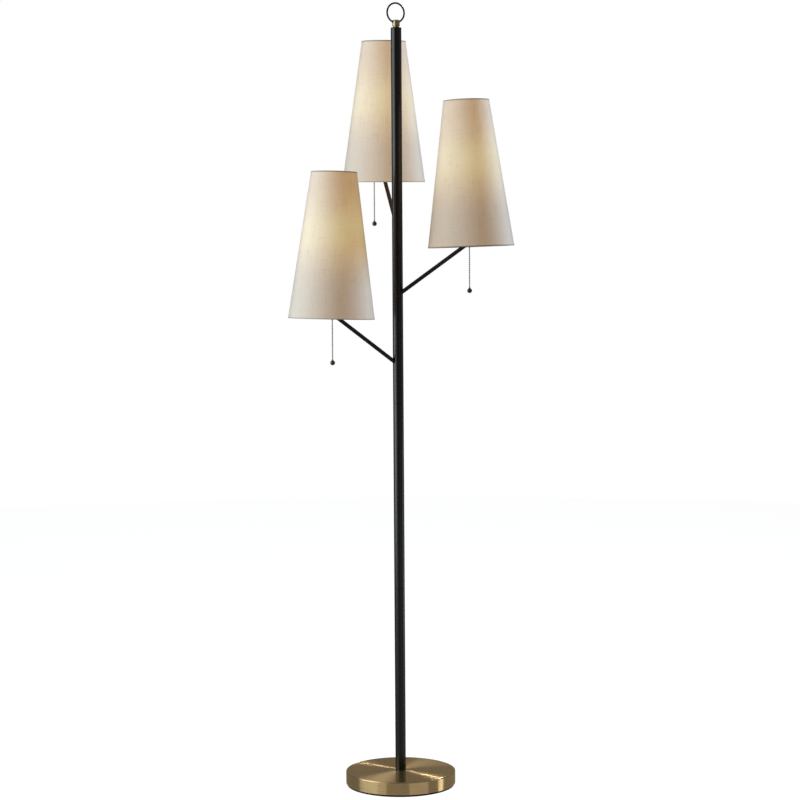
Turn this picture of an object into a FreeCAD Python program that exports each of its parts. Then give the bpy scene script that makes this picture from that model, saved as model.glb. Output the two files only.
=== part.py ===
"""Tree floor lamp: a weighted base, a four-section pole, and three arms with pull-chain sockets and shades.

Millimetres. The origin is on the floor under the pole's axis, +Z is up, -Y is the lamp's front and +X its
right. Every separate piece is one solid, and each node below is one STEP file.
"""
import FreeCAD, Part
import math
import os

from FreeCAD import Vector, Placement, Rotation

# ---------------------------------------------------------------- driving dimensions

# Height of each shade's lower edge on its own axis
LOW_SHADE_FOOT = 1135.0
MID_SHADE_FOOT = 1301.0
TOP_SHADE_FOOT = 1461.0

# Branches: name, compass turn of the arm (degrees from the front, to the right), height of the shade's
# lower edge, and compass turn of the pull chain. The pole's sections are screwed together by hand, so
# the arms stand a few degrees off an even three-way split.
BRANCHES = (
    ("low", -54.8, LOW_SHADE_FOOT, 2.6),
    ("mid", 65.5, MID_SHADE_FOOT, -6.9),
    ("top", 189.8, TOP_SHADE_FOOT, -90.0),
)

# Clearances
RUNNING = 0.05              # radial clearance of a pin or a screwed fit
SEAT = 0.1                  # gap between two seated faces that are screwed up to each other
LOOSE = 0.3                 # gap beside a soft, glued or pressed piece

# Base
BASE_RADIUS = 132.5
COVER_HEIGHT = 30.5
COVER_WALL = 1.2
COVER_EDGE_RADIUS = 2.5
PAD_THICKNESS = 5.0
PAD_INSET = 2.5             # how far the pad's edge stands in from the cover's
WEIGHT_WEB = 10.0           # iron left over the hollow underside
WEIGHT_HOLLOW_RADIUS = 92.0
WEIGHT_HOLLOW_TAPER = 4.0   # draft of the hollow's wall, measured along the floor
CORD_BORE_RADIUS = 3.6
CORD_HEIGHT = 14.0
BUSHING_NECK_RADIUS = 6.0
BUSHING_FLANGE_RADIUS = 8.0
BUSHING_FLANGE = 2.0
BUSHING_FLANGE_BEVEL = 0.8
BUSHING_INSIDE = 6.0        # how far the sleeve reaches in past the cover's wall
BUSHING_TAPER = 0.6         # how much the sleeve narrows towards its inner end
BUSHING_LIP = 1.0           # how far the snap lip stands out from the neck
BUSHING_LIP_DEPTH = 1.6

# Threaded pipe that clamps the pole, the cover and the weight together
PIPE_RADIUS = 6.35
PIPE_BORE_RADIUS = 5.1
PIPE_IN_POLE = 20.0
PIPE_BELOW_NUT = 1.5
NUT_THICKNESS = 6.5
NUT_FLATS = 19.0
WASHER_RADIUS = 16.0
WASHER_THICKNESS = 2.0
FOOT_PLUG_LENGTH = 24.0

# Pole
POLE_RADIUS = 12.7
POLE_WALL = 1.2
SECTION_COUNT = 4
SECTION_LENGTH = 445.7
SECTION_CHAMFER = 0.5
COUPLING_LENGTH = 24.0
COUPLING_BORE_RADIUS = 6.5

# Top plug and finial
PLUG_FLANGE = 2.4
PLUG_FLANGE_ROUND = 1.9
PLUG_SPIGOT = 14.0
KNOB_RADIUS = 8.9
KNOB_HEIGHT = 17.5
KNOB_NECK_RADIUS = 7.0
KNOB_NECK_HEIGHT = 3.2
KNOB_ROUND = 2.2
KNOB_STUD_RADIUS = 4.0
KNOB_STUD_LENGTH = 12.0
RING_RADIUS = 22.8          # to the middle of the wire
RING_WIRE_RADIUS = 2.1
RING_SEAT_HEIGHT = 11.6     # the lowest point of the wire's middle, above the top plug
RING_TURN = 28.5            # how far the ring's plane is turned to the front, degrees
RING_LEAN = 2.0             # the ring leans a little to the left in its hole, degrees

# Arms
ARM_RADIUS = 4.76
ARM_WALL = 1.0
ARM_SLOPE = 33.9            # degrees above horizontal
ARM_REACH = 190.6           # pole axis to shade axis, at the shade's lower edge
ARM_BEND_RADIUS = 25.0
ARM_BEND_HEIGHT = 13.0      # where the arm's line meets the shade's axis, above the shade's lower edge
ARM_INNER_END = 10.4        # where the arm's tube ends inside the pole, from the pole's axis
ARM_IN_CAP = 9.0            # length of arm inside the socket cap

# Shades
SHADE_LEAN = 1.85           # the shade's top leans towards the pole, degrees
SHADE_BOTTOM_RADIUS = 101.6
SHADE_TOP_RADIUS = 53.7
SHADE_HEIGHT = 343.4
SHADE_WALL = 0.9
SHADE_WIRE = 2.0            # side of the square rings that stiffen the rims
RING_INSET = 1.5            # how far the rings stand in from the rims
SPOKE_RADIUS = 1.1
SPOKE_COUNT = 3

# Sockets: heights are above the socket's foot unless the name says otherwise
SOCKET_FOOT = 46.0          # above the shade's lower edge
SOCKET_RADIUS = 17.8
SOCKET_WALL = 0.6
CAP_NECK_RADIUS = 7.5
CAP_NECK_HEIGHT = 6.0
CAP_DOME_TOP = 14.0
CAP_HEIGHT = 20.0
SHELL_START = 15.5
SHELL_SHOULDER = 70.0       # where the shade's fitter ring rests
SHELL_NECK_RADIUS = 16.4
SHELL_NECK_LENGTH = 8.0
CORE_START = 18.0
CORE_TERMINAL_DEPTH = 6.0
CORE_TERMINAL_RADIUS = 11.0
CORE_BELOW_RIM = 4.0
LAMPHOLDER_FLOOR = 48.0
LOCKNUT_FLATS = 13.0
LOCKNUT_THICKNESS = 3.4
SCREW_SHELL_RADIUS = 13.9
SCREW_SHELL_WALL = 0.4
SCREW_SHELL_LENGTH = 25.0
CENTRE_CONTACT_RADIUS = 4.0
CENTRE_CONTACT_HEIGHT = 3.0
FITTER_THICKNESS = 2.2
FITTER_RADIUS = 20.7
CLAMP_RING_RADIUS = 20.2
CLAMP_RING_HEIGHT = 5.0
CLAMP_RING_CHAMFER = 0.8

# Pull switch
CHAIN_OFFSET = 24.0         # chain to socket axis
LEVER_PIVOT_OFFSET = 12.0   # pivot pin to socket axis
LEVER_HEIGHT = 34.0         # height of the pivot pin
PULL_TRAVEL = 9.0
LEVER_PIN_RADIUS = 0.8
LEVER_PIN_LENGTH = 9.0
LEVER_HUB_RADIUS = 2.0
LEVER_HUB_WIDTH = 2.6
LEVER_THICKNESS = 0.9
LEVER_TIP = 3.4             # how far the fork reaches past the chain
FORK_WIDTH = 4.4
FORK_SLOT_WIDTH = 1.5
FORK_SLOT_START = 1.3       # how far the fork's slot starts before the chain
CORE_SLOT_SIDE = 0.3
CORE_SLOT_HEIGHT = 10.0
HOUSING_WIDTH = 8.4
HOUSING_WALL = 0.7
HOUSING_REACH = 4.2         # chain to the housing's outer face
HOUSING_BELOW_PIN = 9.0
HOUSING_ABOVE_PIN = 11.2
HOUSING_CORNER = 2.0
NOZZLE_RADIUS = 3.4
NOZZLE_BORE_RADIUS = 2.2
NOZZLE_LENGTH = 9.0
NOZZLE_LIP = 0.6

# Bead chain
BEAD_SIDES = 6              # a bead's faces round its axis
BEAD_RADIUS = 1.6
BEAD_FLAT = 1.2             # height of a bead's widest band
BEAD_PITCH = 4.8
LINK_RADIUS = 0.5
FORK_GAP = 3.4              # bare link that the fork holds
BEADS_BELOW_FORK = 4
HANGING_BEADS = 33
PULL_RADIUS = 5.75
PULL_COLLAR_RADIUS = 2.4
PULL_COLLAR_HEIGHT = 1.4

# Bulbs
BULB_RADIUS = 30.0
BULB_GLASS = 0.8
BULB_NECK_RADIUS = 13.0
BULB_CAP_RADIUS = 13.15
BULB_CAP_LENGTH = 23.8
BULB_CAP_TIP_RADIUS = 4.0
BULB_CAP_TIP_HEIGHT = 1.4
BULB_CAP_CONE_TOP = 5.8
BULB_LENGTH = 108.8         # tip of the cap to the top of the glass

# Leads
LEAD_RADIUS = 1.6
LEAD_OFFSET = 3.0           # from the pole's axis, inside the pole
LEAD_FLOOR_CLEARANCE = 2.0
LEAD_TAIL = 34.0            # where the lead's bare tail ends in the base, from the pole's axis
LEAD_FOOT_BEND = 5.4
LEAD_POLE_BEND = 9.0
LEAD_IN_CORE = 3.0          # length of lead inside the terminal hollow

# ---------------------------------------------------------------- derived places

COVER_TOP = PAD_THICKNESS + COVER_HEIGHT
WEIGHT_TOP = COVER_TOP - COVER_WALL - LOOSE
WEIGHT_UNDERSIDE = WEIGHT_TOP - WEIGHT_WEB
POLE_BORE_RADIUS = POLE_RADIUS - POLE_WALL
POLE_TOP = COVER_TOP + SECTION_COUNT * SECTION_LENGTH
PLUG_TOP = POLE_TOP + PLUG_FLANGE
PIPE_BOTTOM = WEIGHT_UNDERSIDE - WASHER_THICKNESS - NUT_THICKNESS - PIPE_BELOW_NUT
ARM_BORE_RADIUS = ARM_RADIUS - ARM_WALL
SHADE_SLOPE = (SHADE_BOTTOM_RADIUS - SHADE_TOP_RADIUS) / SHADE_HEIGHT
SHADE_WALL_ACROSS = SHADE_WALL * math.hypot(1.0, SHADE_SLOPE)
SHELL_RIM = SHELL_SHOULDER + SHELL_NECK_LENGTH
LEVER_ARM = CHAIN_OFFSET - LEVER_PIVOT_OFFSET
LEVER_SWING = math.degrees(math.atan2(PULL_TRAVEL / 2, LEVER_ARM))
NOZZLE_TOP = LEVER_HEIGHT - HOUSING_BELOW_PIN
NOZZLE_MOUTH = NOZZLE_TOP - NOZZLE_LENGTH
FORK_REST_HEIGHT = LEVER_HEIGHT + PULL_TRAVEL / 2
BULB_TIP = LAMPHOLDER_FLOOR + CENTRE_CONTACT_HEIGHT + SEAT
BULB_SEAM = BULB_TIP + BULB_CAP_LENGTH
BULB_CENTRE = BULB_TIP + BULB_LENGTH - BULB_RADIUS


# ---------------------------------------------------------------- shape helpers

def ring_profile(points):
    """Closed face in the XZ plane from (radius, height) points."""
    corners = [Vector(radius, 0, height) for radius, height in points]
    return Part.Face(Part.makePolygon(corners + corners[:1]))


def turned(points):
    """Solid of revolution about Z from (radius, height) points."""
    return ring_profile(points).revolve(Vector(0, 0, 0), Vector(0, 0, 1), 360)


def tube(outer, inner, bottom, top):
    """Plain ring or pipe about Z."""
    return turned([(inner, bottom), (outer, bottom), (outer, top), (inner, top)])


def rod(radius, length, start, direction):
    """Cylinder from a start point along a direction."""
    return Part.makeCylinder(radius, length, start, direction)


def hexagon(flats, bottom, height):
    """Hexagonal prism about Z."""
    corner = flats / math.sqrt(3)
    points = [Vector(corner * math.cos(math.radians(60 * k)), corner * math.sin(math.radians(60 * k)), bottom)
              for k in range(7)]
    return Part.Face(Part.makePolygon(points)).extrude(Vector(0, 0, height))


def rounded_path(points, radii):
    """Wire of straight runs joined by tangent arcs, with one radius for each inner point."""
    edges = []
    start = points[0]
    for corner, after, radius in zip(points[1:-1], points[2:], radii):
        before = (corner - start).normalize()
        onward = (after - corner).normalize()
        turn = before.getAngle(onward)
        setback = radius * math.tan(turn / 2)
        first = corner - before * setback
        last = corner + onward * setback
        inward = (onward - before).normalize()
        middle = corner + inward * (radius / math.cos(turn / 2) - radius)
        edges.append(Part.LineSegment(start, first).toShape())
        edges.append(Part.Arc(first, middle, last).toShape())
        start = last
    edges.append(Part.LineSegment(start, points[-1]).toShape())
    return Part.Wire(edges)


def swept_rod(path, radius):
    """Round bar that follows a wire."""
    start = path.Edges[0]
    section = Part.Wire(Part.Circle(start.valueAt(start.FirstParameter),
                                    start.tangentAt(start.FirstParameter), radius).toShape())
    return path.makePipeShell([section], True, False)


def at_compass(turn):
    """Placement that turns +X to a compass direction, measured from the front to the right."""
    return Placement(Vector(0, 0, 0), Rotation(Vector(0, 0, 1), turn - 90))


def placed(shape, placement):
    """Copy of a shape, moved."""
    result = shape.copy()
    result.Placement = placement.multiply(result.Placement)
    return result


# ---------------------------------------------------------------- places of one branch

def in_radial_plane(distance, height):
    """Point in the plane through the pole's axis and an arm, which lies along +X."""
    return Vector(distance, 0, height)


def shade_axis_point(shade_bottom, height):
    """Point on the shade's leaning axis, in the radial plane."""
    lean = math.radians(SHADE_LEAN)
    return in_radial_plane(ARM_REACH - height * math.sin(lean), shade_bottom + height * math.cos(lean))


def arm_line_height(shade_bottom, distance):
    """Height of the arm's straight axis at a distance from the pole's axis."""
    corner = shade_axis_point(shade_bottom, ARM_BEND_HEIGHT)
    return corner.z - (corner.x - distance) * math.tan(math.radians(ARM_SLOPE))


def holder_placement(turn, shade_bottom):
    """Frame of a socket and its shade: +Z along the shade's axis, +X away from the pole."""
    lean = Placement(in_radial_plane(ARM_REACH, shade_bottom), Rotation(Vector(0, 1, 0), -SHADE_LEAN))
    return at_compass(turn).multiply(lean)


def socket_placement(turn, shade_bottom, chain_turn):
    """Frame of a socket: its foot at the origin, +Z along its axis, +X towards its pull chain."""
    spin = Placement(Vector(0, 0, SOCKET_FOOT), Rotation(Vector(0, 0, 1), chain_turn - turn))
    return holder_placement(turn, shade_bottom).multiply(spin)


# ---------------------------------------------------------------- base

def base_cover():
    """Spun brass-finished shell with a rounded shoulder, open underneath."""
    outer = Part.makeCylinder(BASE_RADIUS, COVER_HEIGHT, Vector(0, 0, PAD_THICKNESS))
    rim = [edge for edge in outer.Edges
           if abs(edge.BoundBox.ZMin - COVER_TOP) < 1e-6 and edge.BoundBox.ZLength < 1e-6]
    outer = outer.makeFillet(COVER_EDGE_RADIUS, rim)
    inside = BASE_RADIUS - COVER_WALL
    inner = Part.makeCylinder(inside, COVER_HEIGHT - COVER_WALL, Vector(0, 0, PAD_THICKNESS))
    ceiling = [edge for edge in inner.Edges
               if abs(edge.BoundBox.ZMin - COVER_TOP + COVER_WALL) < 1e-6 and edge.BoundBox.ZLength < 1e-6]
    inner = inner.makeFillet(max(COVER_EDGE_RADIUS - COVER_WALL, 0.2), ceiling)
    pipe_hole = Part.makeCylinder(PIPE_RADIUS + SEAT, COVER_HEIGHT, Vector(0, 0, COVER_TOP - COVER_HEIGHT / 2))
    cord_hole = rod(BUSHING_NECK_RADIUS, 2 * BUSHING_NECK_RADIUS,
                    Vector(0, BASE_RADIUS - BUSHING_NECK_RADIUS, CORD_HEIGHT), Vector(0, 1, 0))
    return outer.cut(inner).cut(pipe_hole).cut(cord_hole)


def base_weight():
    """Cast iron disc, hollow underneath, with a slot for the cord to the back."""
    rim = BASE_RADIUS - COVER_WALL - LOOSE
    edge_relief = COVER_EDGE_RADIUS
    body = turned([
        (PIPE_RADIUS + SEAT, WEIGHT_UNDERSIDE),
        (WEIGHT_HOLLOW_RADIUS - WEIGHT_HOLLOW_TAPER, WEIGHT_UNDERSIDE),
        (WEIGHT_HOLLOW_RADIUS, PAD_THICKNESS),
        (rim, PAD_THICKNESS),
        (rim, WEIGHT_TOP - edge_relief),
        (rim - edge_relief, WEIGHT_TOP),
        (PIPE_RADIUS + SEAT, WEIGHT_TOP),
    ])
    slot_width = 2 * (BUSHING_FLANGE_RADIUS + LOOSE)
    slot_height = CORD_HEIGHT + BUSHING_FLANGE_RADIUS + LOOSE - PAD_THICKNESS
    slot = Part.makeBox(slot_width, BASE_RADIUS - WEIGHT_HOLLOW_RADIUS / 2, slot_height,
                        Vector(-slot_width / 2, WEIGHT_HOLLOW_RADIUS / 2, PAD_THICKNESS))
    return body.cut(slot)


def cord_bushing():
    """Snap-in sleeve in the cover's back, with a flange outside and a lip inside."""
    wall_inside = BASE_RADIUS - COVER_WALL
    neck = BUSHING_NECK_RADIUS - RUNNING
    lip = BUSHING_NECK_RADIUS + BUSHING_LIP
    inner_end = wall_inside - BUSHING_INSIDE
    lip_face = wall_inside - LOOSE
    profile = [
        (CORD_BORE_RADIUS, inner_end),
        (neck - BUSHING_TAPER, inner_end),
        (lip, lip_face - BUSHING_LIP_DEPTH),
        (lip, lip_face),
        (neck, lip_face),
        (neck, BASE_RADIUS + RUNNING),
        (BUSHING_FLANGE_RADIUS, BASE_RADIUS + RUNNING),
        (BUSHING_FLANGE_RADIUS - BUSHING_FLANGE_BEVEL, BASE_RADIUS + BUSHING_FLANGE),
        (CORD_BORE_RADIUS, BASE_RADIUS + BUSHING_FLANGE),
    ]
    to_the_back = Placement(Vector(0, 0, CORD_HEIGHT), Rotation(Vector(1, 0, 0), -90))
    return placed(turned(profile), to_the_back)


def base_nodes():
    """Cover, weight, pad, cord bushing and the pipe, washer and nut that hold the pole on."""
    washer_bottom = WEIGHT_UNDERSIDE - WASHER_THICKNESS
    nut_bottom = washer_bottom - NUT_THICKNESS
    bore = PIPE_RADIUS + RUNNING
    nut = hexagon(NUT_FLATS, nut_bottom, NUT_THICKNESS)
    nut = nut.cut(Part.makeCylinder(bore, NUT_THICKNESS, Vector(0, 0, nut_bottom)))
    return {
        "base_cover": base_cover(),
        "base_weight": base_weight(),
        "base_pad": Part.makeCylinder(BASE_RADIUS - PAD_INSET, PAD_THICKNESS),
        "cord_bushing": cord_bushing(),
        "base_pipe": tube(PIPE_RADIUS, PIPE_BORE_RADIUS, PIPE_BOTTOM, COVER_TOP + PIPE_IN_POLE),
        "base_washer": tube(WASHER_RADIUS, bore, washer_bottom, WEIGHT_UNDERSIDE),
        "base_nut": nut,
    }


# ---------------------------------------------------------------- pole and finial

def pole_section(index):
    """One length of pole tube with lightly chamfered ends."""
    bottom = COVER_TOP + index * SECTION_LENGTH
    top = bottom + SECTION_LENGTH
    edge = POLE_RADIUS - SECTION_CHAMFER
    return turned([
        (POLE_BORE_RADIUS, bottom),
        (edge, bottom),
        (POLE_RADIUS, bottom + SECTION_CHAMFER),
        (POLE_RADIUS, top - SECTION_CHAMFER),
        (edge, top),
        (POLE_BORE_RADIUS, top),
    ])


def arm_hole(turn, shade_bottom):
    """Drill through one wall of the pole along an arm's axis."""
    slope = math.radians(ARM_SLOPE)
    start = in_radial_plane(ARM_INNER_END / 2, arm_line_height(shade_bottom, ARM_INNER_END / 2))
    drill = rod(ARM_RADIUS + SEAT, 2 * POLE_RADIUS, start, Vector(math.cos(slope), 0, math.sin(slope)))
    return placed(drill, at_compass(turn))


def pole_nodes():
    """Four pole sections, the sleeves that join them, and the plugs at both ends."""
    spigot = POLE_BORE_RADIUS - RUNNING
    branch_section = pole_section(2)
    for _, turn, shade_bottom, _ in BRANCHES:
        branch_section = branch_section.cut(arm_hole(turn, shade_bottom))
    sleeves = []
    for joint in range(1, SECTION_COUNT):
        seam = COVER_TOP + joint * SECTION_LENGTH
        sleeves.append(tube(spigot, COUPLING_BORE_RADIUS, seam - COUPLING_LENGTH / 2, seam + COUPLING_LENGTH / 2))
    foot_plug = tube(spigot, PIPE_RADIUS + RUNNING, COVER_TOP, COVER_TOP + FOOT_PLUG_LENGTH)
    stud_hole = KNOB_STUD_RADIUS + RUNNING
    shoulder = POLE_RADIUS - PLUG_FLANGE_ROUND
    rounding = [
        (shoulder + PLUG_FLANGE_ROUND * math.sin(math.radians(angle)),
         PLUG_TOP - PLUG_FLANGE_ROUND + PLUG_FLANGE_ROUND * math.cos(math.radians(angle)))
        for angle in (90, 60, 30, 0)
    ]
    top_plug = turned([
        (stud_hole, POLE_TOP - PLUG_SPIGOT),
        (spigot, POLE_TOP - PLUG_SPIGOT),
        (spigot, POLE_TOP),
        (POLE_RADIUS, POLE_TOP),
        *rounding,
        (stud_hole, PLUG_TOP),
    ])
    return {
        "pole_bottom_section": pole_section(0),
        "pole_lower_section": pole_section(1),
        "pole_branch_section": branch_section,
        "pole_top_section": pole_section(3),
        "pole_couplings": Part.makeCompound(sleeves),
        "pole_foot_plug": foot_plug,
        "pole_top_plug": top_plug,
    }


def finial_nodes():
    """Round knob screwed into the top plug, with the ring through its cross hole."""
    seat = PLUG_TOP + SEAT
    shoulder = seat + KNOB_HEIGHT - KNOB_ROUND
    rounding = [
        (KNOB_RADIUS - KNOB_ROUND + KNOB_ROUND * math.sin(math.radians(angle)),
         shoulder + KNOB_ROUND * math.cos(math.radians(angle)))
        for angle in (90, 60, 30, 0)
    ]
    knob = turned([
        (0, PLUG_TOP - KNOB_STUD_LENGTH),
        (KNOB_STUD_RADIUS, PLUG_TOP - KNOB_STUD_LENGTH),
        (KNOB_STUD_RADIUS, seat),
        (KNOB_NECK_RADIUS, seat),
        (KNOB_NECK_RADIUS, seat + KNOB_NECK_HEIGHT - (KNOB_RADIUS - KNOB_NECK_RADIUS) / 2),
        (KNOB_RADIUS, seat + KNOB_NECK_HEIGHT),
        *rounding,
        (0, seat + KNOB_HEIGHT),
    ])
    lowest = seat + RING_SEAT_HEIGHT
    bow = RING_RADIUS - math.sqrt(RING_RADIUS ** 2 - KNOB_RADIUS ** 2)
    lean_rise = KNOB_RADIUS * math.sin(math.radians(RING_LEAN))
    hole_radius = RING_WIRE_RADIUS + bow / 2 + lean_rise + LOOSE
    ring_turn = Placement(Vector(0, 0, lowest), Rotation(Vector(0, 0, 1), RING_TURN))
    hole = rod(hole_radius, 4 * KNOB_RADIUS, Vector(-2 * KNOB_RADIUS, 0, bow / 2), Vector(1, 0, 0))
    ring = Part.makeTorus(RING_RADIUS, RING_WIRE_RADIUS, Vector(0, 0, RING_RADIUS), Vector(0, 1, 0))
    ring_lean = Placement(Vector(0, 0, 0), Rotation(Vector(0, 1, 0), -RING_LEAN))
    return {
        "finial_knob": knob.cut(placed(hole, ring_turn)),
        "finial_ring": placed(ring, ring_turn.multiply(ring_lean)),
    }


# ---------------------------------------------------------------- arm and lead

def arm(shade_bottom):
    """Bent tube from inside the pole up into the socket's cap, in the radial plane."""
    points = [
        in_radial_plane(ARM_INNER_END, arm_line_height(shade_bottom, ARM_INNER_END)),
        shade_axis_point(shade_bottom, ARM_BEND_HEIGHT),
        shade_axis_point(shade_bottom, SOCKET_FOOT + ARM_IN_CAP),
    ]
    path = rounded_path(points, [ARM_BEND_RADIUS])
    return swept_rod(path, ARM_RADIUS).cut(swept_rod(path, ARM_BORE_RADIUS))


def lead(shade_bottom):
    """Insulated lead from the hollow of the base, up the pole and along the arm to the socket."""
    floor = PAD_THICKNESS + LEAD_FLOOR_CLEARANCE + LEAD_RADIUS
    socket_end = SOCKET_FOOT + CORE_START + LEAD_IN_CORE
    points = [
        in_radial_plane(LEAD_TAIL, floor),
        in_radial_plane(LEAD_OFFSET, floor),
        in_radial_plane(LEAD_OFFSET, arm_line_height(shade_bottom, LEAD_OFFSET)),
        shade_axis_point(shade_bottom, ARM_BEND_HEIGHT),
        shade_axis_point(shade_bottom, socket_end),
    ]
    path = rounded_path(points, [LEAD_FOOT_BEND, LEAD_POLE_BEND, ARM_BEND_RADIUS])
    return swept_rod(path, LEAD_RADIUS), path.Length


# ---------------------------------------------------------------- socket, in its own frame

def socket_locknut():
    """Hexagonal nut on the arm, under the cap."""
    bottom = -LOCKNUT_THICKNESS - SEAT
    nut = hexagon(LOCKNUT_FLATS, bottom, LOCKNUT_THICKNESS)
    return nut.cut(Part.makeCylinder(ARM_RADIUS + RUNNING, LOCKNUT_THICKNESS, Vector(0, 0, bottom)))


def socket_cap():
    """Thin bell-shaped cap on the arm's end, open at the top."""
    bore = ARM_RADIUS + RUNNING
    rim = SOCKET_RADIUS + SEAT + SOCKET_WALL
    inside = SOCKET_RADIUS + SEAT
    swell = CAP_NECK_HEIGHT + (CAP_DOME_TOP - CAP_NECK_HEIGHT) * 0.35
    swell_radius = CAP_NECK_RADIUS + (rim - CAP_NECK_RADIUS) * 0.75
    return turned([
        (bore, 0),
        (CAP_NECK_RADIUS, 0),
        (CAP_NECK_RADIUS, CAP_NECK_HEIGHT),
        (swell_radius, swell),
        (rim, CAP_DOME_TOP),
        (rim, CAP_HEIGHT),
        (inside, CAP_HEIGHT),
        (inside, CAP_DOME_TOP),
        (swell_radius - SOCKET_WALL, swell + SOCKET_WALL),
        (CAP_NECK_RADIUS - SOCKET_WALL, CAP_NECK_HEIGHT + SOCKET_WALL),
        (bore, CAP_NECK_HEIGHT + SOCKET_WALL),
    ])


def socket_shell():
    """Thin barrel with a threaded neck, and on its side the switch housing and the chain's nozzle."""
    inside = SOCKET_RADIUS - SOCKET_WALL
    neck_inside = SHELL_NECK_RADIUS - SOCKET_WALL
    barrel = turned([
        (inside, SHELL_START),
        (SOCKET_RADIUS, SHELL_START),
        (SOCKET_RADIUS, SHELL_SHOULDER),
        (SHELL_NECK_RADIUS, SHELL_SHOULDER),
        (SHELL_NECK_RADIUS, SHELL_RIM),
        (neck_inside, SHELL_RIM),
        (neck_inside, SHELL_SHOULDER - SOCKET_WALL),
        (inside, SHELL_SHOULDER - SOCKET_WALL),
    ])
    floor = LEVER_HEIGHT - HOUSING_BELOW_PIN
    height = HOUSING_BELOW_PIN + HOUSING_ABOVE_PIN
    reach = CHAIN_OFFSET + HOUSING_REACH
    housing = Part.makeBox(reach, HOUSING_WIDTH, height, Vector(0, -HOUSING_WIDTH / 2, floor))
    corners = [edge for edge in housing.Edges
               if edge.BoundBox.ZLength > height - 1e-6 and edge.BoundBox.XMin > reach - 1e-6]
    housing = housing.makeFillet(HOUSING_CORNER, corners)
    nozzle = Part.makeCylinder(NOZZLE_RADIUS, NOZZLE_LENGTH + HOUSING_WALL, Vector(CHAIN_OFFSET, 0, NOZZLE_MOUTH))
    lip = Part.makeTorus(NOZZLE_RADIUS, NOZZLE_LIP, Vector(CHAIN_OFFSET, 0, NOZZLE_MOUTH + NOZZLE_LIP))
    side = housing.fuse([nozzle, lip])
    side = side.cut(Part.makeCylinder(inside, SHELL_RIM, Vector(0, 0, 0)))
    shell = barrel.fuse(side)
    cavity = Part.makeBox(HOUSING_REACH + CHAIN_OFFSET - HOUSING_WALL - LEVER_PIVOT_OFFSET,
                          HOUSING_WIDTH - 2 * HOUSING_WALL, height - 2 * HOUSING_WALL,
                          Vector(LEVER_PIVOT_OFFSET, -HOUSING_WIDTH / 2 + HOUSING_WALL, floor + HOUSING_WALL))
    chain_bore = Part.makeCylinder(NOZZLE_BORE_RADIUS, NOZZLE_LENGTH + 2 * HOUSING_WALL,
                                   Vector(CHAIN_OFFSET, 0, NOZZLE_MOUTH))
    return shell.cut(cavity).cut(chain_bore)


def socket_core():
    """Moulded insulator: terminal hollow below, slot for the switch lever, lampholder well above."""
    rim_height = SHELL_RIM - CORE_BELOW_RIM
    lower = SOCKET_RADIUS - SOCKET_WALL - LOOSE
    upper = SHELL_NECK_RADIUS - SOCKET_WALL - LOOSE
    step = SHELL_SHOULDER - SOCKET_WALL - LOOSE
    well = SCREW_SHELL_RADIUS + SEAT
    body = turned([
        (0, CORE_START + CORE_TERMINAL_DEPTH),
        (CORE_TERMINAL_RADIUS, CORE_START + CORE_TERMINAL_DEPTH),
        (CORE_TERMINAL_RADIUS, CORE_START),
        (lower, CORE_START),
        (lower, step),
        (upper, step),
        (upper, rim_height),
        (well, rim_height),
        (well, LAMPHOLDER_FLOOR),
        (0, LAMPHOLDER_FLOOR),
    ])
    slot_width = LEVER_HUB_WIDTH + 2 * CORE_SLOT_SIDE
    slot_start = LEVER_PIVOT_OFFSET - LEVER_HUB_RADIUS - LOOSE
    slot = Part.makeBox(SOCKET_RADIUS - slot_start, slot_width, CORE_SLOT_HEIGHT,
                        Vector(slot_start, -slot_width / 2, LEVER_HEIGHT - CORE_SLOT_HEIGHT / 2))
    pin_length = LEVER_PIN_LENGTH + 2 * RUNNING
    pin_hole = rod(LEVER_PIN_RADIUS + RUNNING, pin_length,
                   Vector(LEVER_PIVOT_OFFSET, -pin_length / 2, LEVER_HEIGHT), Vector(0, 1, 0))
    return body.cut(slot).cut(pin_hole)


def lamp_contacts():
    """Screw shell and centre contact of the lampholder, two separate pieces."""
    floor = LAMPHOLDER_FLOOR + SEAT
    opening = CENTRE_CONTACT_RADIUS + 2.0
    inside = SCREW_SHELL_RADIUS - SCREW_SHELL_WALL
    screw_shell = turned([
        (opening, floor),
        (SCREW_SHELL_RADIUS, floor),
        (SCREW_SHELL_RADIUS, floor + SCREW_SHELL_LENGTH),
        (inside, floor + SCREW_SHELL_LENGTH),
        (inside, floor + SCREW_SHELL_WALL),
        (opening, floor + SCREW_SHELL_WALL),
    ])
    centre = turned([
        (0, LAMPHOLDER_FLOOR),
        (CENTRE_CONTACT_RADIUS, LAMPHOLDER_FLOOR),
        (CENTRE_CONTACT_RADIUS, LAMPHOLDER_FLOOR + 0.8),
        (CENTRE_CONTACT_RADIUS / 2, LAMPHOLDER_FLOOR + CENTRE_CONTACT_HEIGHT),
        (0, LAMPHOLDER_FLOOR + CENTRE_CONTACT_HEIGHT),
    ])
    return Part.makeCompound([screw_shell, centre])


def lever_pin():
    """Pivot pin of the switch lever, held in the core."""
    return rod(LEVER_PIN_RADIUS, LEVER_PIN_LENGTH,
               Vector(LEVER_PIVOT_OFFSET, -LEVER_PIN_LENGTH / 2, LEVER_HEIGHT), Vector(0, 1, 0))


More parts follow.
